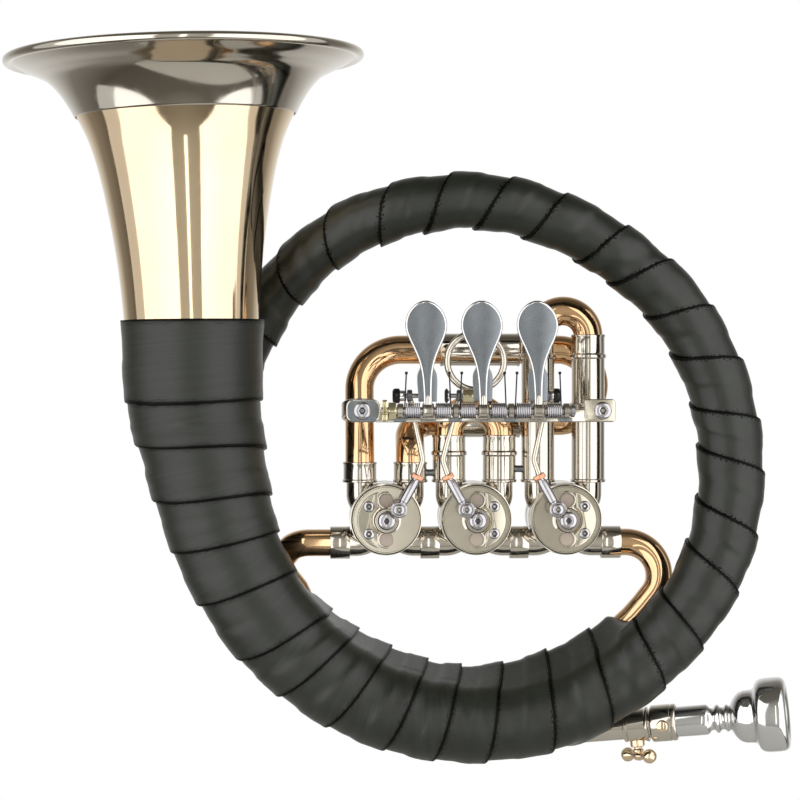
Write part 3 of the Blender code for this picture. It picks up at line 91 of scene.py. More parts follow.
def fresh_material(name):
    """An empty node material with its output and a Principled shader."""
    material = bpy.data.materials.new(name)
    material.use_nodes = True
    material.node_tree.nodes.clear()
    tree = material.node_tree
    shader = node(tree, "ShaderNodeBsdfPrincipled")
    node(tree, "ShaderNodeOutputMaterial", Surface=shader.outputs["BSDF"])
    return material, tree, shader


print("white is", colour("#ffffff")[:3])

# %% [markdown]
# ## Metals
#
# Five metals are on the horn. The bell and the drums are yellow brass, spun thin and polished under clear lacquer.
# The slides and bent tubes are gold brass, which has more copper and looks orange. The garland, the caps, the
# sleeves and the levers are nickel silver, a copper alloy that polishes to a warm grey. Springs and the hinge rod
# are steel, and the mouthpiece is silver plated. All are shiny, so their look is what they reflect: the node work
# only adds the faint unevenness of hand polishing, haze left by wiping, and hairline scratches.


# %% One recipe for polished metal
def polished_metal(name, light, deep, roughness, haze=0.05, wave_mm=9.0, wave=0.012):
    """Polished metal: its colour drifts between two tones, its gloss is hazed, and its skin is faintly wavy."""
    material, tree, shader = fresh_material(name)
    where = node(tree, "ShaderNodeTexCoord").outputs["Object"]
    drift = node(tree, "ShaderNodeTexNoise", {"Scale": 1 / (22 * MM), "Detail": 3.0}, Vector=where)
    tone = node(tree, "ShaderNodeMix", {"data_type": "RGBA"}, Factor=drift.outputs["Fac"])
    tone.inputs["A"].default_value = colour(deep)
    tone.inputs["B"].default_value = colour(light)
    tree.links.new(tone.outputs["Result"], shader.inputs["Base Color"])
    smear = node(tree, "ShaderNodeTexNoise", {"Scale": 1 / (3.5 * MM), "Detail": 4.0}, Vector=where)
    gloss = node(
        tree, "ShaderNodeMapRange",
        {"From Min": 0.35, "From Max": 0.75, "To Min": roughness, "To Max": roughness + haze},
        Value=smear.outputs["Fac"],
    )
    tree.links.new(gloss.outputs["Result"], shader.inputs["Roughness"])
    skin = node(tree, "ShaderNodeTexNoise", {"Scale": 1 / (wave_mm * MM), "Detail": 1.0}, Vector=where)
    bump = node(
        tree, "ShaderNodeBump", {"Strength": 1.0, "Distance": wave * MM}, Height=skin.outputs["Fac"],
    )
    tree.links.new(bump.outputs["Normal"], shader.inputs["Normal"])
    shader.inputs["Metallic"].default_value = 1.0
    return material


YELLOW_BRASS = polished_metal("yellow_brass_polished", "#efdabc", "#e6cdaa", 0.06)
GOLD_BRASS = polished_metal("gold_brass_polished", "#e8c39b", "#ddb386", 0.07)
NICKEL_SILVER = polished_metal("nickel_silver_polished", "#d8d2c8", "#c9c2b6", 0.08)
STEEL = polished_metal("spring_steel_satin", "#8f8a8c", "#6f6b6e", 0.28, haze=0.12)
SILVER_PLATE = polished_metal("silver_plate_polished", "#e6e6e6", "#d6d6d8", 0.07)
FINISH = {
    "gold_brass": YELLOW_BRASS,
    "bronze_tube": GOLD_BRASS,
    "nickel_silver": NICKEL_SILVER,
    "steel": STEEL,
    "silver_plate": SILVER_PLATE,
}
print("metals:", [m.name for m in FINISH.values()])

# %% [markdown]
# Every part of the frame takes its metal from the slot that the record gives it. Parts that a finer piece replaces
# later keep it too, although they are then hidden.

# %% Metals on the frame's parts
for part in frame["record"]["subparts"]:
    metal = FINISH.get(part["material_slot"])
    shape = NODES[part["node"]]
    if metal:
        shape.data.materials.clear()
        shape.data.materials.append(metal)

# %% [markdown]
# ## Leather
#
# The coil is bound in one long strip of soft, dark, green-grey leather, wound edge over edge. It is drum-dyed and
# lightly waxed, so it has a satin sheen, a fine pebbled grain, and cut edges that are a little frayed. Along each
# seam the colour is painted near black: partly the leather's real dark cut edge, partly painted shadow where the
# next turn's edge overhangs the strip.
# The pattern follows the strip: an attribute gives each point its place along and across it, in metres.


# %% The leather's finish
def strip_leather(name):
    """Leather whose pattern and dark seams follow the attributes of a wound strip. The seams are partly the real
    dark cut edge and partly painted shadow under the next turn's overlapping edge.
    """
    material, tree, shader = fresh_material(name)
    strip = node(tree, "ShaderNodeAttribute", {"attribute_name": "strip"}).outputs["Vector"]
    edge = node(tree, "ShaderNodeAttribute", {"attribute_name": "edge"}).outputs["Fac"]
    cloud = node(tree, "ShaderNodeTexNoise", {"Scale": 1 / (14 * MM), "Detail": 4.0}, Vector=strip)
    tone = node(tree, "ShaderNodeValToRGB", Fac=cloud.outputs["Fac"])
    tone.color_ramp.elements[0].position = 0.3
    tone.color_ramp.elements[0].color = colour("#191c17")
    tone.color_ramp.elements[1].position = 0.72
    tone.color_ramp.elements[1].color = colour("#242822")
    ragged = node(tree, "ShaderNodeTexNoise", {"Scale": 1 / (0.8 * MM), "Detail": 3.0}, Vector=strip)
    torn = node(
        tree, "ShaderNodeMapRange", {"From Min": 0.5, "From Max": 0.70, "To Min": 0.0, "To Max": 0.65},
        Value=ragged.outputs["Fac"],
    )
    reach = node(tree, "ShaderNodeMath", {"operation": "ADD"})
    tree.links.new(edge, reach.inputs[0])
    tree.links.new(torn.outputs["Result"], reach.inputs[1])
    # near-black seams: partly the real dark cut edge, partly painted shadow under the next turn's overlapping edge
    dark = node(
        tree, "ShaderNodeMapRange", {"From Min": 0.77, "From Max": 0.86, "To Min": 0.0, "To Max": 1.0},
        Value=reach.outputs["Value"],
    )
    cut = node(tree, "ShaderNodeMix", {"data_type": "RGBA"}, Factor=dark.outputs["Result"])
    tree.links.new(tone.outputs["Color"], cut.inputs["A"])
    cut.inputs["B"].default_value = colour("#060706")
    tree.links.new(cut.outputs["Result"], shader.inputs["Base Color"])
    grain = node(tree, "ShaderNodeTexVoronoi", {"Scale": 1 / (0.85 * MM)}, Vector=strip)
    fine = node(tree, "ShaderNodeBump", {"Strength": 0.35, "Distance": 0.03 * MM}, Height=grain.outputs["Distance"])
    longer = node(tree, "ShaderNodeMapping", {"Scale": (0.5, 1.0, 1.0)}, Vector=strip)
    crease = node(
        tree, "ShaderNodeTexNoise", {"Scale": 1 / (3.2 * MM), "Detail": 5.0, "Roughness": 0.6},
        Vector=longer.outputs["Vector"],
    )
    folds = node(
        tree, "ShaderNodeBump", {"Strength": 0.6, "Distance": 0.09 * MM},
        Height=crease.outputs["Fac"], Normal=fine.outputs["Normal"],
    )
    tree.links.new(folds.outputs["Normal"], shader.inputs["Normal"])
    sheen = node(
        tree, "ShaderNodeMapRange", {"From Min": 0.3, "From Max": 0.7, "To Min": 0.33, "To Max": 0.40},
        Value=crease.outputs["Fac"],
    )
    tree.links.new(sheen.outputs["Result"], shader.inputs["Roughness"])
    raw = node(
        tree, "ShaderNodeMapRange", {"From Min": 0.0, "From Max": 1.0, "To Min": 0.5, "To Max": 0.08},
        Value=dark.outputs["Result"],
    )
    tree.links.new(raw.outputs["Result"], shader.inputs["Specular IOR Level"])
    return material


LEATHER = strip_leather("waxed_strip_leather")
print("the leather's look takes", len(LEATHER.node_tree.nodes), "nodes")

# %% [markdown]
# ## The coil's line
#
# The strip is wound on the coil's own tube and on two more tubes that lie against it. Each tube is given by
# stations round the clock: the coil's by its distance from the middle and its depth, the others by their distance
# outward and backward from it. A smooth cubic runs through the stations.

# %% Stations of the bound tubes
COIL = [
    (-83, 103.0, 36.5, 8.4), (-72, 100.2, 39.4, 8.5), (-60, 99.6, 36.4, 8.5), (-46, 101.0, 27.0, 8.6),
    (-31, 102.0, 13.0, 8.6), (-16, 101.6, 3.5, 8.7), (2, 101.4, 0.3, 8.8), (20, 99.8, 0.0, 9.0),
    (38, 99.4, 0.0, 9.3), (56, 100.9, 0.0, 9.7), (76, 101.8, 0.0, 10.2), (96, 103.2, 0.0, 10.7),
    (116, 104.7, 0.0, 11.1), (138, 104.2, 0.0, 11.8), (160, 104.4, 0.0, 12.5), (182, 103.2, 0.0, 13.4),
    (204, 101.8, 0.0, 14.6), (226, 100.6, 0.0, 16.4), (246, 100.4, 0.0, 18.2), (262, 101.4, 0.0, 20.3),
    (273, 104.6, 0.0, 22.2), (282.05, 110.1, 0.0, 24.2), (290.1, 115.3, 0.0, 25.3), (298, 122.8, 0.0, 26.6),
    (304.6, 132.2, 0.0, 28.0), (310.1, 142.7, 0.0, 29.4),
]
RETURN = [
    (123, -13.0, 17.2, 5.4), (130, -12.2, 16.4, 5.4), (136, -12.0, 16.2, 5.6), (147, -12.6, 14.9, 5.8),
    (160, -13.4, 15.0, 6.1), (182, -11.7, 18.0, 6.4), (204, -11.7, 20.2, 6.8), (226, -9.4, 23.8, 7.2),
    (246, -5.4, 27.2, 7.6), (262, -3.0, 31.0, 8.0), (277, -4.2, 36.2, 8.7), (282, -8.9, 38.4, 9.4),
    (288, -14.7, 39.3, 9.8),
]
MOUTHPIPE = [
    (152, 17.1, 14.0, 5.9), (156.3, 13.9, 16.3, 5.9), (163, 8.6, 20.6, 5.8), (173, 5.0, 23.2, 5.5),
    (185, 1.5, 26.0, 5.4), (198, -3.2, 30.0, 5.4), (210, -7.0, 34.4, 5.4), (219, -9.0, 37.8, 5.4),
    (226, -10.0, 39.8, 5.9), (231, -13.0, 40.5, 6.6),
]
print("the coil is drawn through", len(COIL), "stations")


# %% A smooth line through the stations
def along(stations, key):
    """Values at a key between stations, on a smooth cubic through them."""
    keys = [station[0] for station in stations]
    key = min(max(key, keys[0]), keys[-1])
    index = min(max(int(np.searchsorted(keys, key)) - 1, 0), len(keys) - 2)

    def slope(at):
        before, after = max(at - 1, 0), min(at + 1, len(keys) - 1)
        return np.subtract(stations[after][1:], stations[before][1:]) / (keys[after] - keys[before])

    span = keys[index + 1] - keys[index]
    t = (key - keys[index]) / span
    start, end = np.array(stations[index][1:]), np.array(stations[index + 1][1:])
    return (
        start * (2 * t**3 - 3 * t**2 + 1) + end * (3 * t**2 - 2 * t**3)
        + slope(index) * span * (t**3 - 2 * t**2 + t) + slope(index + 1) * span * (t**3 - t**2)
    )


COIL_LINE = [
    (angle, distance * math.sin(math.radians(angle)), depth, distance * math.cos(math.radians(angle)), radius)
    for angle, distance, depth, radius in COIL
]


def coil_section(angle):
    """The coil's centre in millimetres, its radius, and the directions outward and backward across it."""
    x, y, z, radius = along(COIL_LINE, angle)
    before = Vector(along(COIL_LINE, angle - 0.5)[:3])
    after = Vector(along(COIL_LINE, angle + 0.5)[:3])
    ahead = (after - before).normalized()
    outward = ahead.cross(Vector((0, 1, 0))).normalized()
    return Vector((x, y, z)), radius, outward, outward.cross(ahead)


print("at the top the coil's tube has a radius of", round(coil_section(0)[1], 2), "mm")

# %% [markdown]
# ## The wound strip
#
# Each turn of the strip starts with its cut edge lying on the turn before, then runs down to the tube, so the
# coil's outline steps out at every edge. The edges' places are written down one by one, as clock angles on the
# inside and on the outside of the coil, because a hand-wound strip is never even. The surface is made as one grid
# that winds round the coil as the strip does: a row for each step across the strip, a column for each step round
# the tube.

# %% Where the strip's edges lie
SEAMS = [
    (-83.9, -77.5), (-71.6, -65.2), (-59.6, -52.6), (-47.3, -40.0), (-34.5, -27.5), (-22.2, -15.0), (-11.2, -2.7),
    (1.4, 9.2), (14.2, 20.4), (28.7, 34.6), (38.1, 46.3), (50.4, 58.6), (62.6, 70.8), (76.1, 83.1), (86.3, 93.6),
    (99.3, 106.0), (110.3, 117.4), (124.6, 129.6), (134.1, 140.4), (146.2, 153.0), (159.5, 164.9), (172.5, 177.5),
    (183.4, 187.3), (192.9, 197.0), (203.8, 208.8), (214.1, 219.6), (222.6, 230.1), (237.8, 242.7), (249.6, 253.5),
    (259.3, 264.7), (270.3, 276.4), (280.6, 283.4), (296.8, 296.8),
]
FIRST_WITH_RETURN = 17
FIRST_WITH_MOUTHPIPE = 19
LAST_WITH_MOUTHPIPE = 24
LAST_WITH_RETURN = 29
# the reach of the edge attribute that paints the seams near black: real dark cut edge and painted shadow
CUT_EDGE_AND_SHADOW_REACH = 3.0  # how far in from a seam the edge attribute fades to nothing
STRIP_GAP = 0.7  # between the tube and the strip
STRIP_LOW = 0.9  # one layer
STRIP_STEP = 1.2  # the step at an edge
ACROSS = [
    -0.022, -0.022, -0.008, 0.02, 0.06, 0.12, 0.19, 0.27, 0.35, 0.42, 0.47, 0.51, 0.55, 0.60, 0.66, 0.73,
    0.80, 0.87, 0.93, 0.97, 0.99,
]
COLUMNS = 116
SETTLED = 0.55  # the share of its width after which a turn has left the shape under it


def edge_angle(turn, share):
    """Clock angle of a turn's edge: over the front from inside to outside, then over the back to the next turn."""
    inner, outer = SEAMS[turn]
    following = SEAMS[min(turn + 1, len(SEAMS) - 1)][0]
    if share < 0.5:
        return inner + (outer - inner) * 2 * share
    return outer + (following - outer) * (2 * share - 1)


print("the strip makes", len(SEAMS) - 1, "turns")


# %% The shape that the strip is stretched over
def held_circles(angle, turn):
    """The tubes inside a turn, as circles (outward, back, radius) round the coil's centre."""
    circles = [(0.0, 0.0, coil_section(angle)[1])]
    if FIRST_WITH_RETURN <= turn <= LAST_WITH_RETURN:
        circles.append(tuple(along(RETURN, angle)))
    if FIRST_WITH_MOUTHPIPE <= turn <= LAST_WITH_MOUTHPIPE:
        circles.append(tuple(along(MOUTHPIPE, angle)))
    return circles


def stretched_outline(circles, columns):
    """Points and outward directions, evenly spaced round the circles' common outline, from the inside over the
    front to the outside, and over the back to the inside again. The halves meet beside the coil's own centre, so
    they change smoothly as the bound tubes come and go."""
    sides = np.linspace(0, 2 * math.pi, 361)
    directions = np.stack([-np.cos(sides), -np.sin(sides)], axis=1)
    reach = np.stack([directions @ np.array(c[:2]) + c[2] for c in circles])
    chosen = np.argmax(reach, axis=0)
    centres = np.array([c[:2] for c in circles])[chosen]
    radii = np.array([c[2] for c in circles])[chosen]
    points = centres + directions * radii[:, None]
    way = np.concatenate([[0], np.cumsum(np.linalg.norm(np.diff(points, axis=0), axis=1))])
    girth = way[-1]
    inside = np.interp(0.0, -points[:91, 1], way[:91])
    outside = np.interp(0.0, points[90:271, 1], way[90:271])
    way = np.concatenate([way, way[1:] + girth])
    points = np.concatenate([points, points[1:]])
    directions = np.concatenate([directions, directions[1:]])
    half = columns // 2 + 1
    wanted = np.concatenate([
        np.linspace(inside, outside, half), np.linspace(outside, inside + girth, half)[1:],
    ])
    spots = np.stack([np.interp(wanted, way, points[:, i]) for i in (0, 1)], axis=1)
    facing = np.stack([np.interp(wanted, way, directions[:, i]) for i in (0, 1)], axis=1)
    facing /= np.linalg.norm(facing, axis=1)[:, None]
    return spots, facing, girth


def strip_height(turn, across, share):
    """How far the leather's surface stands off the outline, with its soft second step and its wrinkles."""
    fall = min(max(across, 0.0), 1.0)
    second = 1 / (1 + math.exp((fall - 0.5 - 0.05 * noise.noise(Vector((turn * 3.1, share * 4, 0.5)))) / 0.03))
    step = STRIP_STEP * (1.0 + 0.25 * noise.noise(Vector((turn * 1.7, share * 3.0, 2.0))))
    height = STRIP_LOW + step * (0.55 * (1 - fall) ** 1.2 + 0.45 * second)
    pulled = noise.noise(Vector((across * 5.0, (turn + share) * 3.4, 7.7)))
    creased = noise.noise(Vector((across * 11.0, (turn + share) * 9.0, 1.3)))
    return STRIP_GAP + height + 0.26 * pulled + 0.05 * creased


print("at the bottom the strip holds", len(held_circles(200.0, 22)), "tubes")


# %% Wind the strip
def wind_strip():
    """The strip's rows from the thin end to the bell: points, places on the flat strip and nearness to an edge."""
    rows = []
    turns = len(SEAMS) - 1
    for turn in range(turns):
        rows.append((turn, 0.0, "under"))
        rows += [(turn, across, "top") for across in ACROSS]
    rows.append((turns - 1, 1.0, "top"))
    per_turn = len(ACROSS) + 1
    points, strip, edge = [], [], []
    length = 0.0
    for number, (turn, across, kind) in enumerate(rows):
        shape_turn = max(turn - 1, 0) if kind == "under" else turn
        for column in range(COLUMNS + 1):
            share = column / COLUMNS
            start = edge_angle(turn, share)
            stop = edge_angle(turn + 1, share) if turn + 2 < len(SEAMS) else SEAMS[-1][0]
            ragged = 0.012 * noise.noise(Vector((turn * 5.3, share * 60, 0.0))) if across < 0.0 else 0.0
            angle = min(start + (stop - start) * (across + ragged), SEAMS[-1][0])
            spot, facing, around = laid_over(angle, shape_turn, 1.0 if kind == "under" else across, column)
            if kind == "under":
                height = STRIP_GAP + STRIP_LOW - 0.15
            elif across == ACROSS[0] and rows[number - 1][2] == "under":
                height = strip_height(turn, 0, share) - 0.55
            elif across < 0 and rows[number - 2][2] == "under":
                height = strip_height(turn, 0, share) - 0.12
            else:
                height = strip_height(turn, across, share)
            centre, _, outward, back = coil_section(angle)
            spot = spot + facing * height
            points.append(place(*(centre + outward * spot[0] + back * spot[1])))
            width = (stop - start) * 1.8
            strip.append(((turn + share) * around * MM, across * width * MM, 0.0))
            # nearness to either end of the turn: the leading cut edge, and the painted shadow under the next edge
            gap = min(abs(across), abs(1 - across)) * width
            edge.append(max(0.0, 1 - gap / CUT_EDGE_AND_SHADOW_REACH))
    return rows, per_turn, points, strip, edge


outlines = {}


def outline_at(step, turn):
    """The outline of a turn at a half degree, worked out once."""
    if (step, turn) not in outlines:
        outlines[step, turn] = stretched_outline(held_circles(step / 2, turn), COLUMNS)
    return outlines[step, turn]


def on_outline(angle, turn, column):
    """Place, outward direction and girth at a column, between the outlines of two half degrees."""
    step = math.floor(angle * 2)
    share = angle * 2 - step
    here, there = outline_at(step, turn), outline_at(step + 1, turn)
    return tuple(
        here[i] * (1 - share) + there[i] * share if i == 2
        else here[i][column] * (1 - share) + there[i][column] * share
        for i in range(3)
    )


def tubes_in(turn):
    return (
        FIRST_WITH_RETURN <= turn <= LAST_WITH_RETURN, FIRST_WITH_MOUTHPIPE <= turn <= LAST_WITH_MOUTHPIPE,
    )


def laid_over(angle, turn, across, column):
    """The same for the strip: where the bound tubes change, a turn starts on the shape of the turn before it."""
    spot, facing, around = on_outline(angle, turn, column)
    if turn > 0 and across < SETTLED and tubes_in(turn) != tubes_in(turn - 1):
        old_spot, old_facing, old_around = on_outline(angle, turn - 1, column)
        share = max(across / SETTLED, 0.0)
        share = share * share * (3 - 2 * share)
        spot = old_spot * (1 - share) + spot * share
        facing = old_facing * (1 - share) + facing * share
        around = old_around * (1 - share) + around * share
    return spot, facing / np.linalg.norm(facing), around


strip_rows, rows_per_turn, strip_points, strip_places, strip_edges = wind_strip()
print("the strip has", len(strip_points), "points in", len(strip_rows), "rows")


# %% Join the grid into one wound surface
def wound_mesh():
    """The strip's outer surface as one grid: each turn's last column is stitched to the next turn's first."""
    last = len(strip_rows) - 1
    mesh = bmesh.new()
    place_layer = mesh.verts.layers.float_vector.new("strip")
    edge_layer = mesh.verts.layers.float.new("edge")
    made = {}

    def corner(row, column):
        if column == COLUMNS and row + rows_per_turn <= last:
            row, column = row + rows_per_turn, 0
        if (row, column) not in made:
            index = row * (COLUMNS + 1) + column
            vertex = mesh.verts.new(strip_points[index])
            vertex[place_layer] = strip_places[index]
            vertex[edge_layer] = strip_edges[index]
            made[row, column] = vertex
        return made[row, column]

    for row in range(last):
        for column in range(COLUMNS):
            ring = ((row, column), (row + 1, column), (row + 1, column + 1), (row, column + 1))
            mesh.faces.new([corner(*place_in_grid) for place_in_grid in ring])
    return mesh


surface = wound_mesh()
leather_mesh = bpy.data.meshes.new("leather_strip")
bmesh.ops.remove_doubles(surface, verts=surface.verts, dist=0.00001)
bmesh.ops.recalc_face_normals(surface, faces=surface.faces)
surface.to_mesh(leather_mesh)
surface.free()
leather = bpy.data.objects.new("leather_strip", leather_mesh)
bpy.context.scene.collection.objects.link(leather)
leather_mesh.materials.append(LEATHER)
for face in leather_mesh.polygons:
    face.use_smooth = True
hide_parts("wrap_upper", "wrap_side", "wrap_bottom", "wrap_left", "wrap_throat")
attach(leather, "horn")
print("strip faces:", len(leather_mesh.polygons))

# %% [markdown]
# ## Modelling tools
#
# The fine pieces are modelled with operators, as by hand. Most of a horn is turned on a lathe or drawn as tube, so
# two helpers do most of the work: one draws a section as a ring of edges and spins it, the other gives a path a
# round bevel and makes it a mesh. A third cuts a flat outline and extrudes it. Each starts with nothing selected,
# because the parts of the frame come in selected.


# %% Turn, bend and cut
def clear_selection():
    """Leaves edit mode and deselects everything."""
    if bpy.context.mode != "OBJECT":
        bpy.ops.object.mode_set(mode="OBJECT")
    bpy.ops.object.select_all(action="DESELECT")


def pick(*shapes):
    """Selects these pieces alone; the first is the active one."""
    clear_selection()
    for shape in shapes:
        shape.select_set(True)
    bpy.context.view_layer.objects.active = shapes[0]
    return shapes[0]


def heal():
    """In edit mode: merges what lies on itself and turns all faces outward."""
    bpy.ops.mesh.select_all(action="SELECT")
    bpy.ops.mesh.remove_doubles(threshold=0.002 * MM)
    bpy.ops.mesh.delete_loose()
    bpy.ops.mesh.select_all(action="SELECT")
    bpy.ops.mesh.normals_make_consistent(inside=False)
    bpy.ops.object.mode_set(mode="OBJECT")


def stand(shape, at, axis=(0, 0, 1)):
    """Moves a piece that was made upright at the origin to its place, with its axis turned."""
    turn = Vector(axis).to_track_quat("Z", "Y").to_matrix().to_4x4()
    shape.data.transform(Matrix.Translation(place(*at)) @ turn)
    return shape


def turned(section, at, axis=(0, 0, 1), steps=64):
    """Spins a closed section of (radius, height) points in millimetres round an axis from a place."""
    clear_selection()
    bpy.ops.mesh.primitive_circle_add(vertices=len(section), radius=MM)
    shape = bpy.context.object
    for corner, (radius, height) in zip(shape.data.vertices, section):
        corner.co = (radius * MM, 0.0, height * MM)
    bpy.ops.object.mode_set(mode="EDIT")
    bpy.ops.mesh.select_all(action="SELECT")
    bpy.ops.mesh.spin(steps=steps, angle=2 * math.pi, center=(0, 0, 0), axis=(0, 0, 1))
    heal()
    return stand(shape, at, axis)


def piped(points, radius, sides=28, radii=None):
    """A round tube or wire along points in millimetres, of one radius or of one at each point."""
    clear_selection()
    bpy.ops.curve.primitive_nurbs_path_add()
    shape = bpy.context.object
    path = shape.data
    path.splines.clear()
    line = path.splines.new("POLY")
    line.points.add(len(points) - 1)
    for number, point in enumerate(points):
        line.points[number].co = (*place(*point), 1.0)
        line.points[number].radius = radii[number] / radius if radii else 1.0
    path.bevel_depth = radius * MM
    path.bevel_resolution = sides // 2 - 2
    path.use_fill_caps = True
    bpy.ops.object.convert(target="MESH")
    shape = bpy.context.object
    bpy.ops.object.mode_set(mode="EDIT")
    heal()
    return shape


def cut_out(outline, front, back):
    """A flat outline of (x, z) points, extruded from its front to its back depth."""
    clear_selection()
    bpy.ops.mesh.primitive_circle_add(vertices=len(outline), radius=MM, fill_type="NGON")
    shape = bpy.context.object
    for corner, (x, z) in zip(shape.data.vertices, outline):
        corner.co = place(x, front, z)
    bpy.ops.object.mode_set(mode="EDIT")
    bpy.ops.mesh.select_all(action="SELECT")
    bpy.ops.mesh.extrude_region_move(TRANSFORM_OT_translate={"value": (0, (back - front) * MM, 0)})
    heal()
    return shape


def bends(corners, radii, step=math.radians(6)):
    """A line through corners, each inner corner replaced by an arc of its radius."""
    points = [Vector(corners[0])]
    for index in range(1, len(corners) - 1):
        corner = Vector(corners[index])
        back = (Vector(corners[index - 1]) - corner).normalized()
        ahead = (Vector(corners[index + 1]) - corner).normalized()
        half = back.angle(ahead) / 2
        radius = radii[index - 1]
        centre = corner + (back + ahead).normalized() * (radius / math.sin(half))
        start = corner + back * (radius / math.tan(half)) - centre
        sweep = math.pi - 2 * half
        normal = back.cross(ahead).normalized()
        count = max(3, round(sweep / step))
        for number in range(count + 1):
            points.append(centre + Matrix.Rotation(-sweep * number / count, 3, normal) @ start)
    points.append(Vector(corners[-1]))
    return points


print("a quarter turn is bent in", len(bends([(0, 0, 0), (0, 0, 9), (9, 0, 9)], [5])), "points")


# %% Soften, join and dress
def soften(shape, width, segments=2, degrees=35):
    """Breaks the sharp edges, as a file and a buffing wheel do."""
    pick(shape)
    bpy.ops.object.modifier_add(type="BEVEL")
    bevel = shape.modifiers[-1]
    bevel.width = width * MM
    bevel.segments = segments
    bevel.limit_method = "ANGLE"
    bevel.angle_limit = math.radians(degrees)
    bpy.ops.object.modifier_apply(modifier=bevel.name)
    return shape


def painted(shape, finish):
    """Gives a piece one finish."""
    shape.data.materials.clear()
    shape.data.materials.append(finish)
    return shape


def as_one(*shapes):
    """Joins pieces into the first one."""
    pick(*shapes)
    bpy.ops.object.join()
    return bpy.context.object


def dress(shape, name, slot, body, *nodes, degrees=35):
    """Names and shades a finished piece, lets it ride on its body and stand for its parts of the frame."""
    pick(shape)
    bpy.ops.object.shade_smooth_by_angle(angle=math.radians(degrees))
    shape.name = name
    shape.data.name = name
    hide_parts(*nodes)
    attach(shape, body)
    return shape


print("there are", len(NODES), "parts to dress")

# %% [markdown]
# ## Bell and garland
#
# The bell is a thin brass flare, spun on a mandrel, and its edge is strengthened by a garland: a nickel-silver
# sheet that is spun over the flare and folded round a wire at the rim. Both are turned from one smooth line through
# the measured flare, so that the sheet lies on the bell all round, and the section is spun in fine steps because a
# polished cone shows every facet.

# %% The flare's line
RIM = (-111.5, 0.0, 158.0)
LEAN = math.radians(1.6)
BELL_AXIS = (-math.sin(LEAN), 0.0, math.cos(LEAN))
FLARE = [  # depth below the rim and outer radius
    (2.4, 66.1), (4.4, 62.2), (6.6, 57.2), (9.2, 52.6), (15.0, 47.4), (23.5, 42.4), (35.0, 37.3),
    (53.0, 32.7), (83.0, 28.0), (118.0, 25.4),
]
flare_way = np.concatenate([[0.0], np.cumsum([math.dist(a, b) for a, b in zip(FLARE, FLARE[1:])])])
FLARE_STATIONS = [(way, *station) for way, station in zip(flare_way, FLARE)]


def flare_line(last_depth, count, offset):
    """Points (radius, height) down the flare to a depth, set off from it."""
    ways = np.linspace(0.0, flare_way[-1], 900)
    fine = np.array([along(FLARE_STATIONS, way) for way in ways])
    last_way = np.interp(last_depth, fine[:, 0], ways)
    wanted = np.linspace(0.0, last_way, count)
    depth, radius = (np.interp(wanted, ways, fine[:, i]) for i in (0, 1))
    fall, draw = np.gradient(depth), np.gradient(radius)
    size = np.hypot(fall, draw)
    return [(r + offset * f / s, -d + offset * w / s) for r, d, f, w, s in zip(radius, depth, fall, draw, size)]


print("the bell opens to a radius of", FLARE[0][1], "mm")


# %% Spin both
GARLAND_DEPTH = 23.6
bell = turned(flare_line(118.0, 90, 0.0) + flare_line(118.0, 90, -0.6)[::-1], RIM, BELL_AXIS, 192)
painted(bell, YELLOW_BRASS)
dress(bell, "bell_flare", "gold_brass", "horn", "bell")
rim_wire = [
    (68.25 + 1.75 * math.cos(math.radians(turn)), -1.75 + 1.75 * math.sin(math.radians(turn)))
    for turn in np.linspace(190, -100, 22)
]
sheet = flare_line(GARLAND_DEPTH, 46, 0.75)
lip = [(sheet[-1][0] - 0.2, sheet[-1][1] - 0.12)]
garland = turned(rim_wire + sheet + lip + flare_line(GARLAND_DEPTH, 46, 0.3)[::-1], RIM, BELL_AXIS, 192)
painted(garland, NICKEL_SILVER)
dress(garland, "rim_garland", "nickel_silver", "horn", "bell_garland")
print("garland:", len(garland.data.polygons), "faces")

# %% [markdown]
# ## Valve casings and the main run
#
# Each valve is a short drum with a lid on each side. Tubes meet it at elbows: two knuckles rise from its top and
# the main run enters it low on both sides. All of it is nickel silver. The drum is turned, the elbows are bent tube
# that ends inside the drum, and the sleeves where two elbows meet are turned rings.

# %% Places of the valves
VALVE_X = (-32.6, 3.1, 38.8)
VALVE_Z = -23.9
CRANK_SIDE = (1, -1, -1)
RUN_Z = -34.0
TUBE_Y = 22.0
TUBE_RADIUS = 5.4  # of the plain tube between the valves and the coil
LOOP_RADIUS = 5.8  # of the tube in the slides and loops


def sleeve(start, axis, length, bore, radius, steps=56):
    """A turned sleeve with broken edges."""
    ring = turned([(bore, 0.0), (radius, 0.0), (radius, length), (bore, length)], start, axis, steps)
    return soften(ring, 0.22, 2)


print("the valves stand", round(VALVE_X[1] - VALVE_X[0], 1), "mm apart")


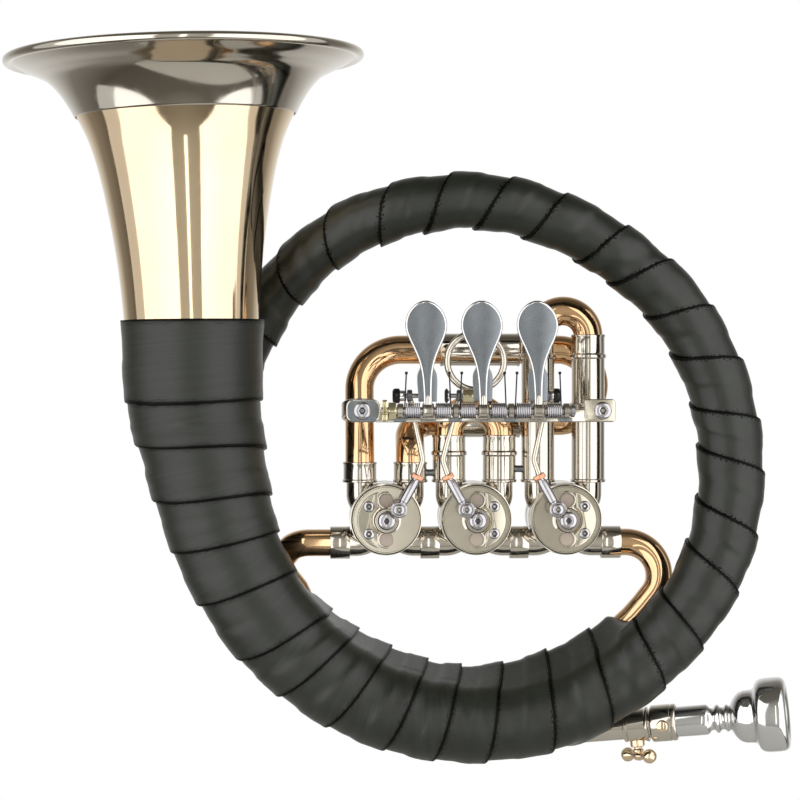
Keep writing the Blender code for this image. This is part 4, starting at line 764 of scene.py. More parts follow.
# %% Casings
def casing(number):
    """A valve's drum with the knuckles that the legs and the run stand on."""
    x = VALVE_X[number]
    drum = turned(
        [
            (11.9, 0.0), (14.2, 0.0), (14.2, 5.4), (13.75, 5.8), (13.75, 6.6), (14.2, 7.0), (14.2, 19.2),
            (13.75, 19.6),
            (13.75, 20.4), (14.2, 20.8), (14.2, 26.0), (11.9, 26.0),
        ],
        (x, 35.0, VALVE_Z), (0, -1, 0), 96,
    )
    pieces = [soften(drum, 0.15, 2)]
    for sign in (-1, 1):
        knuckle = x + sign * 10.1
        pieces.append(piped(bends(
            [(knuckle, TUBE_Y, -9.9), (knuckle, TUBE_Y, -17.2), (x + sign * 2.0, TUBE_Y, -23.0)], [5.2]
        ), TUBE_RADIUS, 40))
        end = x + sign * 17.7
        if number == 0 and sign < 0:
            end = -50.5
        if number == 2 and sign > 0:
            end = 57.7
        pieces.append(piped(bends(
            [(end, TUBE_Y, RUN_Z), (x + sign * 6.6, TUBE_Y, RUN_Z), (x + sign * 1.0, TUBE_Y, -24.0)], [8.5]
        ), TUBE_RADIUS, 40))
    if number == 1:
        pieces += [sleeve((x + sign * 17.85 - 3.8, TUBE_Y, RUN_Z), (1, 0, 0), 7.6, 5.5, 6.5) for sign in (-1, 1)]
    whole = painted(as_one(*pieces), NICKEL_SILVER)
    return dress(whole, f"valve_casing_{number + 1}", "nickel_silver", "horn", f"casing_{number + 1}")


for number in range(3):
    casing(number)
for name, left in (("run_sleeve_left", -54.6), ("run_sleeve_right", 53.9)):
    ring = painted(sleeve((left, TUBE_Y, RUN_Z), (1, 0, 0), 7.9, 5.7, 6.5), NICKEL_SILVER)
    dress(ring, f"turned_{name}", "nickel_silver", "horn", name)
print("casings stand at", VALVE_X)

# %% [markdown]
# Screws hold the lids, the bumper plates and the cranks. Each has a domed head with a hexagonal socket. The head is
# turned with a round hole, and the hole's points are then drawn in to a hexagon.


# %% A socket screw
STEEL_BRIGHT = polished_metal("screw_steel_polished", "#c9c7ca", "#acaab0", 0.16, haze=0.08, wave=0.0)
# a darker steel, used as painted shade on the walls and floor of the screw sockets
SOCKET_PAINTED_SHADE = polished_metal("socket_steel_painted_shade", "#5a585c", "#444246", 0.35, haze=0.08, wave=0.0)


def socket_screw(at, axis, radius, height, socket=0.4, deep=0.7):
    """A domed screw head with a six-sided socket whose walls and floor take a darker steel as painted shade."""
    hole = radius * socket
    shape = turned(
        [
            (0.0, height - deep - hole * 0.5), (hole, height - deep), (hole, height - 0.08), (hole * 1.12, height),
            (radius * 0.66, height * 0.97), (radius * 0.86, height * 0.80), (radius * 0.97, height * 0.5),
            (radius, height * 0.2), (radius, -0.4), (0.0, -0.4),
        ],
        (0, 0, 0), (0, 0, 1), 48,
    )
    shape.data.transform(Matrix.Translation(-place(0, 0, 0)))
    for corner in shape.data.vertices:
        reach = math.hypot(corner.co.x, corner.co.y)
        if 0.5 * hole * MM < reach < 1.2 * hole * MM:
            turn = math.atan2(corner.co.y, corner.co.x) % (math.pi / 3) - math.pi / 6
            wider = 1.0 / math.cos(turn)
            corner.co.x *= wider
            corner.co.y *= wider
    shape.data.materials.append(STEEL_BRIGHT)
    shape.data.materials.append(SOCKET_PAINTED_SHADE)
    # the socket's walls and floor get the darker steel: painted shade in the recess
    for polygon in shape.data.polygons:
        inside = math.hypot(polygon.center.x, polygon.center.y) < 1.04 * hole * MM
        polygon.material_index = 1 if inside and polygon.center.z > -0.39 * MM else 0
    return stand(shape, at, axis)


print("screws use", STEEL_BRIGHT.name, "and", SOCKET_PAINTED_SHADE.name)

# %% [markdown]
# The lid at the back is a shallow dome with a turned groove. The one in front is a flat plate with a bevelled edge,
# and its face is left satin so that the moving crank stands out from it. A half-moon plate is screwed on it with
# two socket screws, and it holds two round bumpers that stop the crank.

# %% Lids and bumper plates
NICKEL_SATIN = polished_metal("nickel_silver_satin", "#cbc5b6", "#bfb8a8", 0.16, haze=0.05, wave=0.0)
BUMPER = fresh_material("bumper_neoprene")
bumper_grain = node(
    BUMPER[1], "ShaderNodeTexNoise", {"Scale": 1 / (0.6 * MM), "Detail": 2.0},
    Vector=node(BUMPER[1], "ShaderNodeTexCoord").outputs["Object"],
)
bumper_bump = node(
    BUMPER[1], "ShaderNodeBump", {"Strength": 0.4, "Distance": 0.03 * MM}, Height=bumper_grain.outputs["Fac"]
)
BUMPER[1].links.new(bumper_bump.outputs["Normal"], BUMPER[2].inputs["Normal"])
BUMPER[2].inputs["Base Color"].default_value = colour("#a89b8f")
BUMPER[2].inputs["Roughness"].default_value = 0.42


def lids(number):
    x = VALVE_X[number]
    back = turned(
        [
            (0.0, 2.3), (8.4, 2.3), (8.8, 2.75), (9.8, 2.75), (10.3, 2.4), (12.6, 2.2), (13.45, 1.5), (13.8, 0.7),
            (13.8, 0.0), (0.0, 0.0),
        ],
        (x, 35.3, VALVE_Z), (0, 1, 0), 80,
    )
    dress(
        painted(back, NICKEL_SILVER), f"back_lid_{number + 1}", "nickel_silver", "horn", f"rear_cap_{number + 1}"
    )
    front = turned(
        [(0.0, 0.0), (13.5, 0.0), (13.75, 0.25), (13.75, 2.0), (13.3, 2.42), (12.95, 2.42), (12.8, 2.3), (0.0, 2.3)],
        (x, 8.7, VALVE_Z), (0, -1, 0), 112,
    )
    dress(
        painted(front, NICKEL_SATIN), f"front_lid_{number + 1}", "nickel_silver", "horn",
        f"front_cover_{number + 1}",
    )


def half_moon(number):
    side = -CRANK_SIDE[number]
    x = VALVE_X[number]
    edge, outer, inner = 3.1, 11.5, 6.0
    wide = math.acos(edge / outer)
    tight = math.acos(edge / inner)
    outline = [(outer * math.cos(t), outer * math.sin(t)) for t in np.linspace(-wide, wide, 48)]
    outline += [(inner * math.cos(t), inner * math.sin(t)) for t in np.linspace(tight, -tight, 26)]
    plate = cut_out([(x + side * across, VALVE_Z + up) for across, up in outline], 4.1, 6.1)
    plate = painted(soften(plate, 0.38, 3), NICKEL_SATIN)
    pieces = [plate]
    for sign in (-1, 1):
        at = (x + side * 8.7 * math.cos(math.radians(38)), 4.1, VALVE_Z + sign * 8.7 * math.sin(math.radians(38)))
        pieces.append(socket_screw(at, (0, -1, 0), 2.2, 0.8, 0.5, 0.45))
        pad = turned(
            [(0.0, 0.0), (2.9, 0.0), (2.9, 1.2), (2.6, 1.5), (0.0, 1.55)],
            (x + side * 0.1, 6.2, VALVE_Z + sign * 7.75), (0, -1, 0), 40,
        )
        pieces.append(painted(pad, BUMPER[0]))
        middle = Vector((x + side * 0.1, 4.5, VALVE_Z + sign * 7.75))
        cup = [
            middle + Vector((side * 3.0 * math.cos(t), 0, 3.0 * math.sin(t))) for t in np.linspace(-1.9, 1.9, 40)
        ]
        pieces.append(painted(piped(cup, 0.42, 12), NICKEL_SILVER))
    dress(as_one(*pieces), f"half_moon_plate_{number + 1}", "nickel_silver", "horn", f"bumper_plate_{number + 1}")


for number in range(3):
    lids(number)
    half_moon(number)
print("lids and plates are on")

# %% [markdown]
# The crank sits on the rotor's spindle: a round hub with a big domed screw, an arm and a pin. It turns with the
# rotor, so it rides on the rotor's body.


# %% Cranks
def crank(number):
    x, side = VALVE_X[number], CRANK_SIDE[number]
    reach = 6.6 * math.cos(math.radians(45))
    hub = turned(
        [
            (0.0, 0.0), (5.8, 0.0), (5.8, 0.9), (5.0, 1.3), (4.9, 1.7), (4.9, 5.6), (4.55, 6.0), (4.1, 6.0),
            (3.95, 5.8), (0.0, 5.8),
        ],
        (x, 6.0, VALVE_Z), (0, -1, 0), 72,
    )
    turn = math.atan2(1, side)
    lean = math.asin((3.6 - 2.7) / 6.6)
    outline = [
        (x + side * reach + 2.7 * math.cos(turn + t), VALVE_Z + reach + 2.7 * math.sin(turn + t))
        for t in np.linspace(-math.pi / 2 + lean, math.pi / 2 - lean, 18)
    ]
    outline += [
        (x + 3.6 * math.cos(turn + t), VALVE_Z + 3.6 * math.sin(turn + t))
        for t in np.linspace(math.pi / 2 - lean, 1.5 * math.pi + lean, 22)
    ]
    arm = soften(cut_out(outline, 0.2, 2.8), 0.3, 2)
    pin_at = (x + side * reach, 1.0, VALVE_Z + reach)
    pin = turned([(0.0, 0.0), (1.2, 0.0), (1.2, 6.9), (0.0, 6.9)], pin_at, (0, -1, 0), 24)
    for piece in (hub, arm, pin):
        painted(piece, NICKEL_SILVER)
    middle = socket_screw((x, 0.2, VALVE_Z), (0, -1, 0), 3.7, 1.9, 0.3, 0.9)
    head = socket_screw((x + side * reach, -5.8, VALVE_Z + reach), (0, -1, 0), 2.3, 1.0, 0.4, 0.7)
    whole = as_one(hub, arm, pin, middle, head)
    return dress(whole, f"crank_{number + 1}", "nickel_silver", f"rotor_{number + 1}", f"stop_arm_{number + 1}")


for number in range(3):
    crank(number)
print("cranks are on")

# %% [markdown]
# ## The lever plates
#
# A lever is a leaf-shaped finger plate with a bevelled edge, a strap behind it, a hub on the hinge rod and a
# thin arm that rises over the rail to its link. The plate's faces take a darker metal as painted shade and its edge
# a brighter one as a painted highlight. The plates are cut from one outline that is drawn by half widths, and they
# lean back a little toward the player's hand.

# %% Finger plates
HINGE = (-32.0, 19.9)
HUB_X = (-17.9, 3.1, 24.1)
LEVER_LEAN = math.radians(8)
LEAF = [
    (1, 1.6), (8, 1.7), (14, 2.1), (19, 3.1), (24, 5.0), (28, 6.8), (31.5, 7.8), (35, 7.6), (38.4, 6.1), (41.0, 3.4),
    (42.0, 0.9),
]
STRAP = [(3.4, 3.5), (7, 3.6), (11, 3.8), (14, 3.6), (16.6, 2.4)]
# a darker copy of nickel silver: painted shade on the lever faces and straps, rail end, bearing feet, braces, link
# eyes
PAINTED_SHADE_NICKEL = polished_metal("nickel_silver_painted_shade", "#8a8f94", "#7c8187", 0.26, haze=0.06, wave=0.0)
LEAF_SWING = 0.028  # the plates stand a little to the left of their hubs


def smooth_leaf(points, count):
    """Evenly spaced points on a smooth line through the half widths."""
    way = np.concatenate([[0.0], np.cumsum([math.dist(a, b) for a, b in zip(points, points[1:])])])
    stations = [(w, *p) for w, p in zip(way, points)]
    return [tuple(along(stations, w)) for w in np.linspace(0.0, way[-1], count)]


def leaned(shape, x):
    """Leans a piece that was drawn upright over the hinge."""
    pivot = place(x, *HINGE)
    turn = Matrix.Translation(pivot) @ Matrix.Rotation(LEVER_LEAN, 4, "X") @ Matrix.Translation(-pivot)
    shape.data.transform(turn)
    return shape


def leaf(x, widths, front, back, bevel, count=40):
    right = smooth_leaf(widths, count)
    outline = [(x + half - up * LEAF_SWING, HINGE[1] + up) for up, half in right]
    outline += [(x - half - up * LEAF_SWING, HINGE[1] + up) for up, half in reversed(right)]
    return leaned(soften(cut_out(outline, front, back), bevel, 3, 50), x)


def two_faced(shape, face, edge):
    """Gives the flat front and back one metal and the rounded edge another, a darker face against a brighter edge:
    where the face is the darker nickel copy it is painted shade, and a silver-plated edge is a painted highlight.
    """
    shape.data.materials.clear()
    shape.data.materials.append(edge)
    shape.data.materials.append(face)
    lean = Vector((0, -math.cos(LEVER_LEAN), -math.sin(LEVER_LEAN)))
    for polygon in shape.data.polygons:
        polygon.material_index = 1 if abs(polygon.normal.dot(lean)) > 0.985 else 0
    return shape


print("a plate's outline has", 2 * len(smooth_leaf(LEAF, 40)), "points")

# %% [markdown]
# Between arm and link sits a hexagonal spool, and a knob of black horn with a silver neck closes the pin outside
# the link. The link can slide and lean between them as the crank swings.

# %% Levers
STRAW_NICKEL = polished_metal("nickel_silver_straw", "#e6ddba", "#d8cda6", 0.2, haze=0.08, wave=0.0)
BLACK_KNOB = fresh_material("horn_black_polished")
BLACK_KNOB[2].inputs["Base Color"].default_value = colour("#121113")
BLACK_KNOB[2].inputs["Roughness"].default_value = 0.16
LEVER_SIDE = (-1, -1, 1)  # where the link hangs
SPOOL_FACE = (-19.9, -3.07, 26.1)
KNOB_FACE = (-25.13, -8.3, 31.33)
KNOB_END = (-30.5, -10.2, 35.2)
TOP_Z = 25.2
PIN_Y = -4.0


def knob(number):
    side = LEVER_SIDE[number]
    length = abs(KNOB_END[number] - KNOB_FACE[number])
    black = 2.9 if length > 3 else 1.3
    neck = length - black
    silver = turned(
        [(0.0, 0.0), (1.9, 0.0), (2.1, 0.2), (2.1, neck - 0.3), (2.3, neck), (2.3, neck + 0.2), (0.0, neck + 0.2)],
        (KNOB_FACE[number], PIN_Y, TOP_Z), (side, 0, 0), 40,
    )
    end = turned(
        [
            (0.0, neck), (2.5, neck), (2.85, neck + 0.3), (2.95, neck + black * 0.45), (2.8, length - 0.6),
            (2.3, length - 0.12), (1.7, length), (0.0, length),
        ],
        (KNOB_FACE[number], PIN_Y, TOP_Z), (side, 0, 0), 48,
    )
    return [painted(silver, SILVER_PLATE), painted(end, BLACK_KNOB[0])]


def lever(number):
    x, side = HUB_X[number], LEVER_SIDE[number]
    # the plate's faces take the darker nickel copy as painted shade and its edge silver plate as a painted highlight
    plate = two_faced(leaf(x, LEAF, HINGE[0] - 0.8, HINGE[0] + 0.8, 0.7, 44), PAINTED_SHADE_NICKEL, SILVER_PLATE)
    strap = painted(leaf(x, STRAP, HINGE[0] + 0.8, HINGE[0] + 1.5, 0.2, 18), PAINTED_SHADE_NICKEL)
    hub = turned(
        [
            (1.8, -2.2), (2.6, -2.2), (2.9, -1.95), (2.9, -1.5), (2.7, -1.35), (2.75, 0.0), (2.7, 1.35), (2.9, 1.5),
            (2.9, 1.95), (2.6, 2.2), (1.8, 2.2),
        ],
        (x, *HINGE), (1, 0, 0), 48,
    )
    arm = piped(bends(
        [(x, HINGE[0], HINGE[1] + 2), (x, HINGE[0] - 0.9, HINGE[1] + 8.6), (x, PIN_Y + 1.4, TOP_Z)], [3.0]
    ), 1.3, 20)
    block = turned([(0, 0), (1.9, 0), (1.9, 3.8), (0, 3.8)], (x, PIN_Y, TOP_Z - 1.9), (0, 0, 1), 32)
    pin = piped([(x, PIN_Y, TOP_Z), (KNOB_END[number] - side * 0.5, PIN_Y, TOP_Z)], 0.9, 20)
    near = x + side * 1.5
    spool = turned(
        [(0, 0), (2.9, 0), (2.9, abs(SPOOL_FACE[number] - near)), (0, abs(SPOOL_FACE[number] - near))],
        (near, PIN_Y, TOP_Z), (side, 0, 0), 6,
    )
    pieces = [
        plate, strap, painted(hub, NICKEL_SILVER), painted(arm, NICKEL_SILVER),
        painted(soften(block, 0.4, 3), NICKEL_SILVER), painted(pin, STEEL_BRIGHT),
        painted(soften(spool, 0.3, 2), STRAW_NICKEL), *knob(number),
    ]
    name = f"lever_{number + 1}"
    return dress(as_one(*pieces), f"finger_{name}", "nickel_silver", name, name)


for number in range(3):
    lever(number)
print("levers are on")

# %% [markdown]
# The links are small turned and bent pieces: a ring round the crank's pin, a steel barrel, a copper-plated lock
# nut, a thin rod bent like a dog's leg, and an eye at the top.

# %% Links
COPPER_NUT = polished_metal("lock_nut_copper_plated", "#dba68a", "#cb9474", 0.2, haze=0.08, wave=0.0)


def link(number):
    x, side = VALVE_X[number], CRANK_SIDE[number]
    reach = 6.6 * math.cos(math.radians(45))
    pin = Vector((x + side * reach, PIN_Y, VALVE_Z + reach))
    nut_at = pin + Vector((side * 6.8, 0, 12.0))
    bend = pin + Vector((side * 9.3, 0, 19.4))
    top = Vector((pin.x + side * (4.15, 2.85, 4.15)[number], PIN_Y, TOP_Z))
    ahead = (nut_at - pin).normalized()
    ring = turned(
        [(1.5, -1.5), (2.7, -1.5), (3.2, -1.1), (3.3, -0.6), (3.3, 0.6), (3.2, 1.1), (2.7, 1.5), (1.5, 1.5)],
        pin, (0, -1, 0), 56,
    )
    length = (nut_at - pin).length
    barrel = turned(
        [
            (0, 2.2), (1.5, 2.2), (1.5, 3.3), (1.9, 3.7), (1.9, length - 1.4), (1.6, length - 0.9), (1.6, length),
            (0, length),
        ],
        pin, ahead, 40,
    )
    nut = turned([(0, -0.2), (2.75, -0.2), (2.75, 1.8), (0, 1.8)], nut_at, ahead, 6)
    shaft = piped(bends([nut_at, bend, top], [4.0]), 1.1, 24)
    eye = turned(
        [(1.6, -1.0), (2.1, -1.0), (2.4, -0.7), (2.4, 0.7), (2.1, 1.0), (1.6, 1.0)], top, (1, 0, 0), 40
    )
    # the eye takes the darker nickel copy as painted shade
    pieces = [
        painted(ring, STEEL_BRIGHT), painted(barrel, STEEL_BRIGHT), painted(soften(nut, 0.3, 2), COPPER_NUT),
        painted(shaft, NICKEL_SILVER), painted(eye, PAINTED_SHADE_NICKEL),
    ]
    name = f"link_{number + 1}"
    return dress(as_one(*pieces), f"bent_{name}", "nickel_silver", name, name)


for number in range(3):
    link(number)
print("links are on")

# %% [markdown]
# ## Hinge
#
# The rail has a rounded plate at each end, screwed to a post that clamps on an outer leg. Small round bearings
# stand on its front edge, and the rod that runs through them carries a knurled ring and a lock nut at its left end.


# %% Rail, bearings and rod
def rounded_box(left, right, low, high, corner, front, back, bevel):
    """A bar with rounded corners, drawn from the front."""
    outline = []
    for cx, cz, start in (
        (right - corner, high - corner, 0), (left + corner, high - corner, 90),
        (left + corner, low + corner, 180), (right - corner, low + corner, 270),
    ):
        for turn in range(start, start + 91, 9):
            outline.append((
                cx + corner * math.cos(math.radians(turn)), cz + corner * math.sin(math.radians(turn))
            ))
    return soften(cut_out(outline, front, back), bevel, 3, 50)


def hinge_rail():
    middle = painted(rounded_box(-38.0, 43.0, 15.5, 20.4, 0.8, -28.2, -26.6, 0.35), NICKEL_SILVER)
    left = rounded_box(-48.9, -35.9, 15.5, 24.3, 3.0, -28.6, -26.6, 0.55)
    right = rounded_box(41.8, 53.8, 15.5, 24.3, 1.6, -28.6, -26.6, 0.45)
    # the left end's face takes the darker nickel copy as painted shade
    pieces = [middle, two_faced(left, PAINTED_SHADE_NICKEL, NICKEL_SILVER), two_faced(right, NICKEL_SATIN, NICKEL_SILVER)]
    for x in (-42.7, 48.9):
        pieces.append(socket_screw((x, -28.6, HINGE[1]), (0, -1, 0), 3.4, 1.2, 0.36, 0.9))
    for number in range(4):
        x = HUB_X[0] + (number - 0.5) * 21.0
        boss = turned(
            [
                (1.8, -1.2), (2.5, -1.2), (2.9, -0.9), (2.9, 0.9), (2.5, 1.2), (1.8, 1.2),
            ],
            (x, *HINGE), (1, 0, 0), 48,
        )
        neck = rounded_box(x - 1.2, x + 1.2, HINGE[1] - 2.2, HINGE[1] + 2.2, 0.3, -30.2, -27.6, 0.2)
        foot = rounded_box(x - 2.6, x + 2.6, HINGE[1] - 4.2, HINGE[1] - 2.6, 0.6, -30.0, -27.6, 0.3)
        # the bearing feet take the darker nickel copy as painted shade under the bosses
        pieces += [painted(boss, NICKEL_SILVER), painted(neck, NICKEL_SILVER), painted(foot, PAINTED_SHADE_NICKEL)]
    dress(as_one(*pieces), "lever_rail", "nickel_silver", "horn", "hinge_rail")


hinge_rail()
rod = painted(piped([(-35.6, *HINGE), (38.0, *HINGE)], 1.5, 32), STEEL_BRIGHT)
ring = turned([(0, 0), (3.9, 0.0), (4.0, 0.2), (4.0, 1.6), (3.9, 1.8), (0, 1.8)], (-35.2, *HINGE), (1, 0, 0), 60)
for corner in ring.data.vertices:
    away = corner.co - place(-35.2, *HINGE)
    reach = math.hypot(away.y, away.z)
    if reach > 2.0 * MM:
        tooth = round(math.atan2(away.z, away.y) / (math.tau / 60))
        corner.co.y += away.y * (0.05 if tooth % 2 else -0.04)
        corner.co.z += away.z * (0.05 if tooth % 2 else -0.04)
nut = soften(turned([(0, 0), (3.7, 0), (3.7, 2.9), (0, 2.9)], (-32.9, *HINGE), (1, 0, 0), 6), 0.3, 2)
head = turned([(0, 0), (2.2, 0), (2.5, 0.3), (2.5, 1.3), (2.2, 1.6), (0, 1.6)], (36.2, *HINGE), (1, 0, 0), 40)
whole = as_one(rod, painted(ring, STRAW_NICKEL), painted(nut, STRAW_NICKEL), painted(head, STEEL_BRIGHT))
dress(whole, "lever_hinge_rod", "steel", "horn", "hinge_rod")
print("hinge is on")


# %% Posts
def post(name, x, tube_centre, tube_axis, tube_radius):
    axis = Vector(tube_axis).normalized()
    centre = Vector(tube_centre)
    outer = tube_radius + 1.5
    clamp = turned(
        [
            (tube_radius + 0.3, -4.4), (outer - 0.3, -4.4), (outer, -4.1), (outer, 1.5), (outer - 0.3, 1.8),
            (tube_radius + 0.3, 1.8),
        ],
        centre, axis, 72,
    )
    stem = centre.y - tube_radius - 0.8 + 26.3
    bar = turned(
        [
            (0, 0), (3.7, 0), (3.9, 0.25), (3.9, 1.5), (3.6, 1.8), (2.9, 2.0), (2.6, 2.6), (2.6, stem - 3.0),
            (3.4, stem - 0.8), (3.6, stem), (0, stem),
        ],
        (x, -26.3, HINGE[1]), (0, 1, 0), 48,
    )
    whole = as_one(painted(clamp, NICKEL_SILVER), painted(bar, NICKEL_SILVER))
    dress(whole, f"clamped_{name}", "nickel_silver", "horn", name)


post("post_left", -42.7, (-42.7, 28.34, 19.9), (0, 14.4, 41.8), 5.8)
post("post_right", 48.9, (48.9, 22.0, 19.9), (0, 0, 1), 6.6)
print("posts are on")

# %% [markdown]
# Each lever's spring is one piece of steel wire: a coil on each side of the hub, joined under it, with a long tail
# up each side that ends in a small knot. The coils take a bright steel, and the tails and knots a dark one.

# %% Springs
TAIL_STEEL_DARK = polished_metal("spring_wire_dark_tails", "#3b3a3f", "#262529", 0.3, haze=0.1, wave=0.0)


def spring(number):
    curls, points = 8, 20
    count = curls * points
    half = []
    for index in range(count + 1):
        turn = math.pi * 1.5 + math.tau * index / points
        half.append(Vector((2.95 + 5.5 * index / count, 2.85 * math.cos(turn), 2.85 * math.sin(turn))))
    last = half[-1]
    half.append(last + Vector((0.2, 1.7, 1.4)))
    half.append(half[-1] + Vector((0.1, 0.2, 2.6)))
    half.append(last + Vector((-0.3, 1.6, 2.85 + 14.6)))
    half.insert(0, Vector((2.85, -0.2, -3.7)))
    centre = Vector((HUB_X[number], *HINGE))
    line = [centre + Vector((-p.x, p.y, p.z)) for p in reversed(half)] + [centre + p for p in half]
    wire = piped(line, 0.27, 12)
    knots = []
    for sign in (-1, 1):
        end = centre + Vector((sign * half[-1].x, half[-1].y, half[-1].z - 0.8))
        knots.append(soften(turned([(0, 0), (0.55, 0), (0.55, 1.1), (0, 1.1)], end, (0, 0, 1), 16), 0.2, 2))
    coils = painted(wire, STEEL_BRIGHT)
    coils.data.materials.append(TAIL_STEEL_DARK)
    # one wire in two steels: the tails above this height and the knots dark, the coils bright
    tail_from = place(0, 0, HINGE[1] + 3.4).z
    for polygon in coils.data.polygons:
        if polygon.center.z > tail_from:
            polygon.material_index = 1
    name = f"spring_{number + 1}"
    dress(as_one(coils, *[painted(k, TAIL_STEEL_DARK) for k in knots]), f"wound_{name}", "steel", "horn", name)


for number in range(3):
    spring(number)
print("springs are on")

# %% [markdown]
# ## Loops and sleeves
#
# Each valve opens into a loop of its own. The short and the tall one are plain bows that push into straight
# sleeves, and the third runs up, back and across behind them. The bows are bent gold brass. The sleeves are drawn
# nickel silver with a turned ring near the top, and small waisted braces tie neighbouring sleeves together.


# %% Sleeves
def leg_sleeve(x, top, ring=None):
    """A sleeve on a valve's knuckle, with a foot ring, a rolled top edge and perhaps a ring."""
    length = top + 9.8
    line = [(6.1, 0.0), (6.9, 0.0), (7.0, 0.2), (7.0, 1.0), (6.6, 1.3)]
    if ring is not None:
        middle = ring + 9.8
        line += [(6.6, middle - 1.1), (7.2, middle - 0.55), (7.2, middle + 0.55), (6.6, middle + 1.1)]
    line += [(6.6, length - 1.2), (6.85, length - 0.8), (6.85, length - 0.2), (6.65, length), (6.1, length)]
    return painted(soften(turned(line, (x, TUBE_Y, -9.8), (0, 0, 1), 72), 0.14, 2), NICKEL_SILVER)


def brace(x, z):
    reach = 4.1
    shape = turned(
        [
            (0, -reach), (2.6, -reach), (2.6, -reach + 0.5), (1.5, -reach + 1.4), (1.35, 0.0), (1.5, reach - 1.4),
            (2.6, reach - 0.5), (2.6, reach), (0, reach),
        ],
        (x, TUBE_Y, z), (1, 0, 0), 40,
    )
    # the brace takes the darker nickel copy as painted shade between the sleeves
    return painted(shape, PAINTED_SHADE_NICKEL)


dress(leg_sleeve(-42.7, -1.6), "sleeve_long_outer", "nickel_silver", "horn", "leg_long")
pair = as_one(leg_sleeve(-22.5, -1.6), leg_sleeve(-7.0, 9.2, 1.8), brace(-14.75, -6.0))
dress(pair, "sleeves_long_short", "nickel_silver", "horn", "legs_long_short")
pair = as_one(leg_sleeve(13.2, 9.2, 1.8), leg_sleeve(28.7, 49.4, 40.7), brace(20.95, -4.5))
dress(pair, "sleeves_short_tall", "nickel_silver", "horn", "legs_short_tall")
dress(leg_sleeve(48.9, 49.4, 40.7), "sleeve_tall_outer", "nickel_silver", "horn", "leg_tall")
print("two sleeves and their brace have", len(pair.data.polygons), "faces")


# %% Bows and bent tubes
def bow(name, body, first, second, outward, engaged):
    """Two straight legs joined by a half circle."""
    first, second, side = Vector(first), Vector(second), Vector(outward)
    middle = (first + second) / 2
    radius = (second - first).length / 2
    arc = [
        middle + (first - middle) * math.cos(t) + side * radius * math.sin(t) for t in np.linspace(0, math.pi, 41)
    ]
    shape = piped([first - side * engaged, *arc, second - side * engaged], LOOP_RADIUS, 48)
    dress(painted(shape, GOLD_BRASS), f"{body}_bow", "bronze_tube", body, name)


bow("slide_short", "slide_short", (-7.0, TUBE_Y, 9.7), (13.2, TUBE_Y, 9.7), (0, 0, 1), 16.5)
bow("slide_tall", "slide_tall", (28.7, TUBE_Y, 48.7), (48.9, TUBE_Y, 48.7), (0, 0, 1), 37.3)
BACK_Y = 36.4
bow("slide_long", "slide_long", (38.3, BACK_Y, 14.3), (38.3, BACK_Y, 43.3), (1, 0, 0), 43.8)
for name, x, lean_from, height, radii in (
    ("long_tube_high", -42.7, 1.5, 43.3, [15.0, 17.0]), ("long_tube_low", -22.5, 2.6, 14.3, [8.0, 10.5]),
):
    line = bends(
        [(x, TUBE_Y, -9.5), (x, TUBE_Y, lean_from), (x, BACK_Y, height), (-6.9, BACK_Y, height)], radii,
        math.radians(4),
    )
    dress(painted(piped(line, LOOP_RADIUS, 48), GOLD_BRASS), f"bent_{name}", "bronze_tube", "horn", name)
print("the low tube is bent through", len(line), "points")


# %% Cross sleeves and the finger ring
def cross_sleeve(height):
    shape = turned(
        [
            (6.1, 0.0), (6.65, 0.0), (6.85, 0.2), (6.85, 0.9), (6.6, 1.3), (6.6, 31.1), (6.85, 31.5), (6.85, 32.2),
            (6.65, 32.4), (6.1, 32.4),
        ],
        (-9.9, BACK_Y, height), (1, 0, 0), 72,
    )
    return painted(soften(shape, 0.14, 2), NICKEL_SILVER)


dress(cross_sleeve(14.3), "cross_sleeve_low", "nickel_silver", "horn", "long_sleeve_low")
loop = [
    (3.1 + 11.3 * math.sin(t), 13.0, 38.6 + 11.3 * math.cos(t)) for t in np.linspace(0, math.tau, 97)
]
pieces = [cross_sleeve(43.3), painted(piped(loop, 1.35, 20), NICKEL_SILVER)]
for sign in (-1, 1):
    x = 3.1 + sign * 10.28
    foot = turned(
        [(0, 0), (1.35, 0.0), (1.35, 15.0), (2.2, 16.6), (2.4, 18.3), (0, 18.3)], (x, 13.0, 43.3), (0, 1, 0), 32
    )
    pieces.append(painted(foot, NICKEL_SILVER))
dress(as_one(*pieces), "cross_sleeve_and_ring", "nickel_silver", "horn", "long_sleeve_high")
print("loops are on")

# %% [markdown]
# Two more tubes join the valves to the coil. One leaves the run on the right, bends down and disappears under the
# leather. The other comes out of the leather on the left and turns into the run.


# %% Tubes that dive under the leather
def bound_point(stations, angle):
    """Centre and radius of a bound tube at a clock angle."""
    centre, _, outward, back = coil_section(angle)
    out, behind, radius = along(stations, angle)
    return centre + outward * out + back * behind, radius


bound = [bound_point(RETURN, angle) for angle in np.arange(130.0, 288.1, 4.0)]
entry = bound[0][0]
ahead = (entry - bound_point(RETURN, 131.0)[0]).normalized()
knee = entry + ahead * ((77.0 - entry.x) / ahead.x)
bend = bends([(58.0, TUBE_Y, RUN_Z), (knee.x, TUBE_Y, RUN_Z), knee, entry], [13.0, 11.0], math.radians(4))
line = bend[:-1] + [centre for centre, _ in bound]
radii = [TUBE_RADIUS] * (len(bend) - 1) + [radius for _, radius in bound]
dress(
    painted(piped(line, TUBE_RADIUS, 44, radii), GOLD_BRASS), "return_bend", "bronze_tube", "horn", "return_tube"
)
inner = [bound_point(MOUTHPIPE, angle)[0] for angle in np.arange(220.0, 233.1, 2.0)]
bend = bends([inner[-1], (-76.5, 36.5, -44.0), (-68.5, TUBE_Y, RUN_Z), (-50.8, TUBE_Y, RUN_Z)], [6.5, 8.5])
